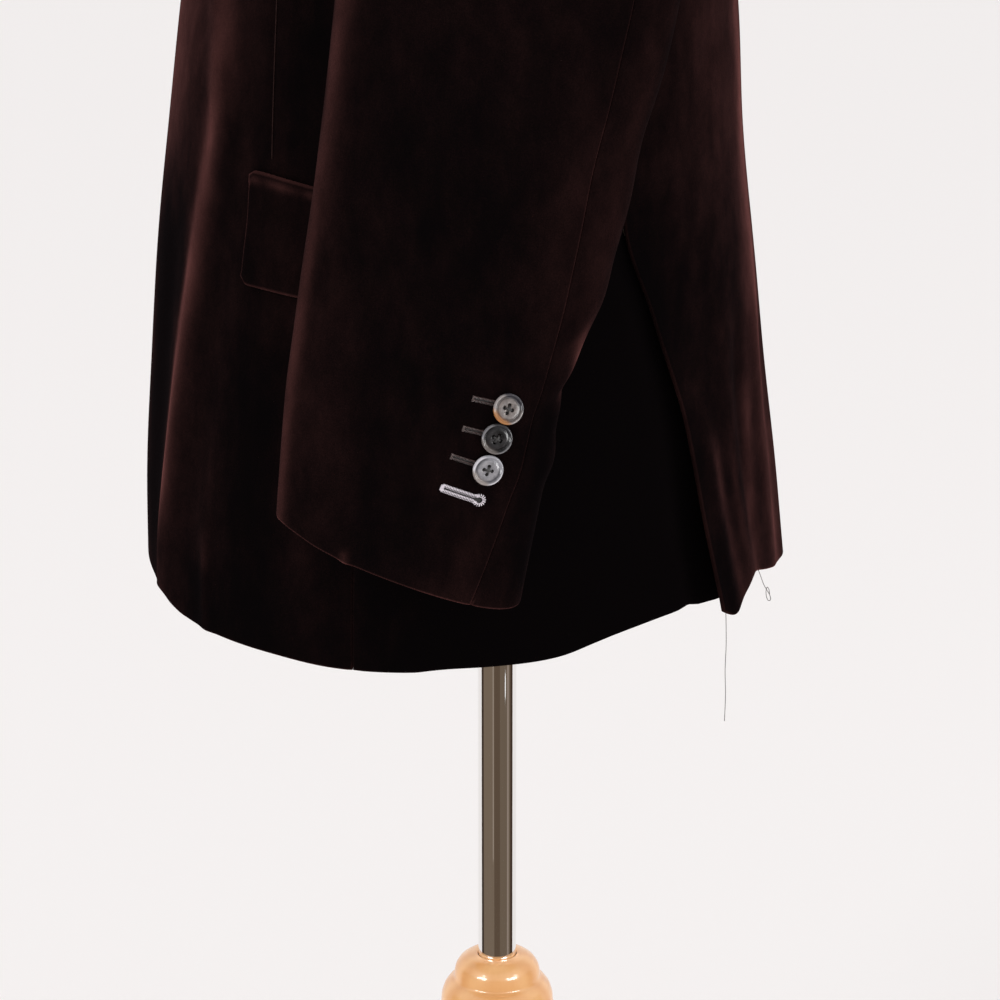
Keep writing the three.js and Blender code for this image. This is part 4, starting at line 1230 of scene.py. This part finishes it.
def eased(points, count):
    """Points along a smooth curve through the given ones."""
    p = np.array(points, float)
    ends = np.vstack([2 * p[0] - p[1], p, 2 * p[-1] - p[-2]])
    out = []
    for t in np.linspace(0, len(p) - 1, count):
        i = min(int(t), len(p) - 2)
        f = t - i
        a, b, c, d = ends[i : i + 4]
        square, cube = (2 * a - 5 * b + 4 * c - d) * f**2, (3 * b - a - 3 * c + d) * f**3
        out.append(0.5 * (2 * b + (c - a) * f + square + cube))
    return np.array(out)


loose_thread = thread_material("thread_loose", (0.05, 0.026, 0.022, 1))
for row in LOOSE:
    hem = hung(row["angle"], np.asarray(0.0))
    away = body_worn(row["angle"], hem) + vent_flare(row["angle"], 0.0)
    top = skin(row["angle"], hem, away - CLOTH / 2 + row["out"])
    path = eased(top + [0, 0, 1.5] + np.array(row["fall"]), 40)
    end = tubes(row["name"], [path], THREAD / 2, 8)
    fitted(end, loose_thread)
    real = (path + [0, 0, HEM]) / 1000
    length = float(np.linalg.norm(np.diff(real, axis=0), axis=1).sum())

# The dress form: a limbless torso covered in stretched cloth, on a polished steel pole that stands
# in a turned and varnished wooden stand, whose domed hub shows under the coat.
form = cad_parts["dress_form"]
cover = Shader("form_cover_cloth")
weave = cover.noise(900.0, 2.0, 0.6)
cover.set(
    Base_Color=cover.mix(weave, (0.6, 0.54, 0.45, 1), (0.72, 0.66, 0.56, 1)),
    Roughness=0.85,
    Sheen_Weight=0.2,
    Normal=cover.bump(weave, 0.0004, 0.4),
)
form.data.materials.clear()
form.data.materials.append(cover.material)
form.data.shade_smooth()


def eased_profile(profile, size):
    """A profile with each of its corners rounded and held by points close on both sides."""
    out = [profile[0]]
    for before, corner, after in zip(profile, profile[1:], profile[2:]):
        a, p, b = np.array(before, float), np.array(corner, float), np.array(after, float)
        near, far = np.linalg.norm(a - p), np.linalg.norm(b - p)
        r = min(size, near * 0.3, far * 0.3)
        first, last = p + (a - p) * r / near, p + (b - p) * r / far
        out += [p + (first - p) * 1.6, first, (first + last + 2 * p) / 4, last, p + (last - p) * 1.6]
    return [tuple(q) for q in out] + [profile[-1]]


POLE_RADIUS = 11
steel = Shader("steel_polished")
drawn = steel.noise(300.0, 2.0, 0.5, steel.stretched(1, 1, 0.02))
bright = steel.mix(drawn, (0.84, 0.83, 0.82, 1), (0.93, 0.92, 0.91, 1))
steel.set(Base_Color=bright, Metallic=1.0, Roughness=0.04)
low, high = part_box("pole")
bottom, top = low[2] * 1000 - HEM, high[2] * 1000 - HEM
outline = [(0, bottom), (POLE_RADIUS, bottom), (POLE_RADIUS, top), (0, top)]
verts, faces = lathe(eased_profile(outline, 0.6), 96)
fitted(mesh_piece("pole_steel", verts, faces), steel.material, "pole")
STAND = [
    (0, 0), (180, 0), (183, 6), (180, 14), (160, 22), (112, 32), (70, 46), (46, 68), (34, 100), (28, 150),
    (28, 200), (34, 240), (42, 272), (44, 290), (40, 306), (33, 316), (32.9, 325), (32.4, 331), (30.6, 336),
    (27.8, 339.5), (25.2, 341.2), (25, 344.5), (24, 348.6), (21.4, 352.4), (17.4, 355), (13.6, 355.8),
    (11.3, 355.8), (11.3, 301), (0, 301),
]
wood = Shader("wood_varnished")
rings = wood.node("ShaderNodeTexWave", {"wave_type": "BANDS", "bands_direction": "X"},
                  {"Vector": wood.stretched(1, 1, 0.12), "Scale": 22.0, "Distortion": 5.0, "Detail": 3.0})
pores = wood.noise(420.0, 2.0, 0.6, wood.stretched(1, 1, 0.06))
wood.set(
    Base_Color=wood.mix(rings * 0.7 + pores * 0.3, (0.88, 0.42, 0.15, 1), (1.0, 0.56, 0.245, 1)),
    Roughness=0.3,
    Specular_IOR_Level=0.3,
    Coat_Weight=0.7,
    Coat_Roughness=0.03,
)
verts, faces = lathe(eased_profile([(r, z - HEM) for r, z in STAND], 2.0), 128)
fitted(mesh_piece("stand_wood", verts, faces), wood.material, "stand")

# A low pale collar closes the gap between the pole and its socket; its pale colour is a painted reflection of
# the pale wood in the pole's lowest part.
COLLAR = [(11.2, -256), (11.2, -251.6), (12.4, -250.9), (13.8, -251.4), (14.3, -252.6), (14.3, -256)]
verts, faces = lathe(COLLAR, 96)
collar_pale = Shader("collar_pale")
collar_pale.set(Base_Color=(0.74, 0.8, 0.8, 1), Roughness=0.3, Coat_Weight=0.5, Coat_Roughness=0.03)
fitted(mesh_piece("pole_collar", verts, faces), collar_pale.material)

# The room: a pale floor that fades into a pale surround, with two soft lamps.
floor_mesh = bpy.data.meshes.new("floor")
floor_mesh.from_pydata([(-9, -9, 0), (9, -9, 0), (9, 9, 0), (-9, 9, 0)], [], [(0, 1, 2, 3)])
floor = placed("floor", floor_mesh)
pale = Shader("floor_pale")
pale.set(Base_Color=(0.92, 0.9, 0.89, 1), Roughness=0.9, Specular_IOR_Level=0.1)
floor_mesh.materials.append(pale.material)
world = bpy.data.worlds.new("room")
world.use_nodes = True
sky = world.node_tree
where = sky.nodes.new("ShaderNodeTexCoord")
split = sky.nodes.new("ShaderNodeSeparateXYZ")
fade = sky.nodes.new("ShaderNodeMapRange")
sky.links.new(where.outputs["Generated"], split.inputs[0])
sky.links.new(split.outputs[0], fade.inputs["Value"])
for key, value in {"From Min": -0.8, "From Max": 0.8, "To Min": 1.12, "To Max": 0.78}.items():
    fade.inputs[key].default_value = value
sky.nodes["Background"].inputs[0].default_value = (1.0, 0.985, 0.99, 1)
sky.links.new(fade.outputs[0], sky.nodes["Background"].inputs[1])
bpy.context.scene.world = world
bpy.context.scene.view_settings.view_transform = "Standard"
LAMPS = columns(
    "name x y z size power",
    ("key", 2.2, -2.0, 2.6, 0.6, 12),
    ("fill", 1.6, 2.6, 2.3, 0.6, 10),
)
for row in LAMPS:
    data = bpy.data.lights.new(row["name"], "AREA")
    data.size, data.energy = row["size"], row["power"]
    lamp = placed(row["name"], data)
    lamp.location = (row["x"], row["y"], row["z"])
    aim = Vector((0, 0, 0.85)) - lamp.location
    lamp.rotation_euler = aim.to_track_quat("-Z", "Y").to_euler()

# Screens that only mirrors see: the dim side of the room with its lit strips in the polished pole,
# and two bright panes in the varnish of the hub.
# Turns are round the pole from the camera's side, positive towards the coat's back.
SCREENS = columns(
    "name turn0 turn1 low high away tone",
    ("dim_front", -106, -88, 0.0, 0.62, 0.72, (0.05, 0.034, 0.026)),
    ("brown_front", -88, -17, 0.0, 0.62, 0.72, (0.18, 0.135, 0.098)),
    ("brown_middle", -17, 17, 0.0, 0.62, 0.72, (0.11, 0.076, 0.052)),
    ("brown_back", 17, 86, 0.0, 0.62, 0.72, (0.15, 0.112, 0.08)),
    ("dim_back", 86, 106, 0.0, 0.62, 0.72, (0.055, 0.034, 0.024)),
    ("strip_front", -26, -21, 0.13, 0.6, 0.7, (0.34, 0.28, 0.23)),
    ("strip_back", 62, 74, 0.04, 0.6, 0.7, (0.29, 0.23, 0.19)),
    ("window", 47, 53, 0.275, 0.295, 0.68, (1.0, 1.0, 1.0)),
    ("pane_front", -58, -30, 0.575, 0.76, 0.68, (24.0, 24.0, 24.0)),
    ("pane_back", 28, 58, 0.575, 0.76, 0.68, (24.0, 24.0, 24.0)),
)
for row in SCREENS:
    turns = np.radians(np.linspace(row["turn0"], row["turn1"], 24))
    ring = np.stack([np.cos(turns), np.sin(turns)], -1) * row["away"]
    verts = [(*q, row["low"]) for q in ring] + [(*q, row["high"]) for q in ring]
    screen_mesh = bpy.data.meshes.new("screen_" + row["name"])
    screen_mesh.from_pydata(verts, [], [(i, i + 1, i + 25, i + 24) for i in range(23)])
    screen = placed("screen_" + row["name"], screen_mesh)
    lit = Shader("screen_" + row["name"])
    glow = dict(Emission_Color=(*row["tone"], 1), Emission_Strength=1.0)
    lit.set(Base_Color=(0, 0, 0, 1), Specular_IOR_Level=0.0, **glow)
    screen_mesh.materials.append(lit.material)
    screen.visible_camera = screen.visible_diffuse = screen.visible_shadow = False
    screen.visible_transmission = screen.visible_volume_scatter = False

camera_data = bpy.data.cameras.new("camera")
camera_data.lens = 118.4
camera_data.sensor_width = 36
camera = placed("camera", camera_data)
camera.location = (1.7685, 0.00165, 1.1517)
camera.rotation_euler = (math.radians(90 - 16.404), 0, math.radians(90))
bpy.context.scene.camera = camera
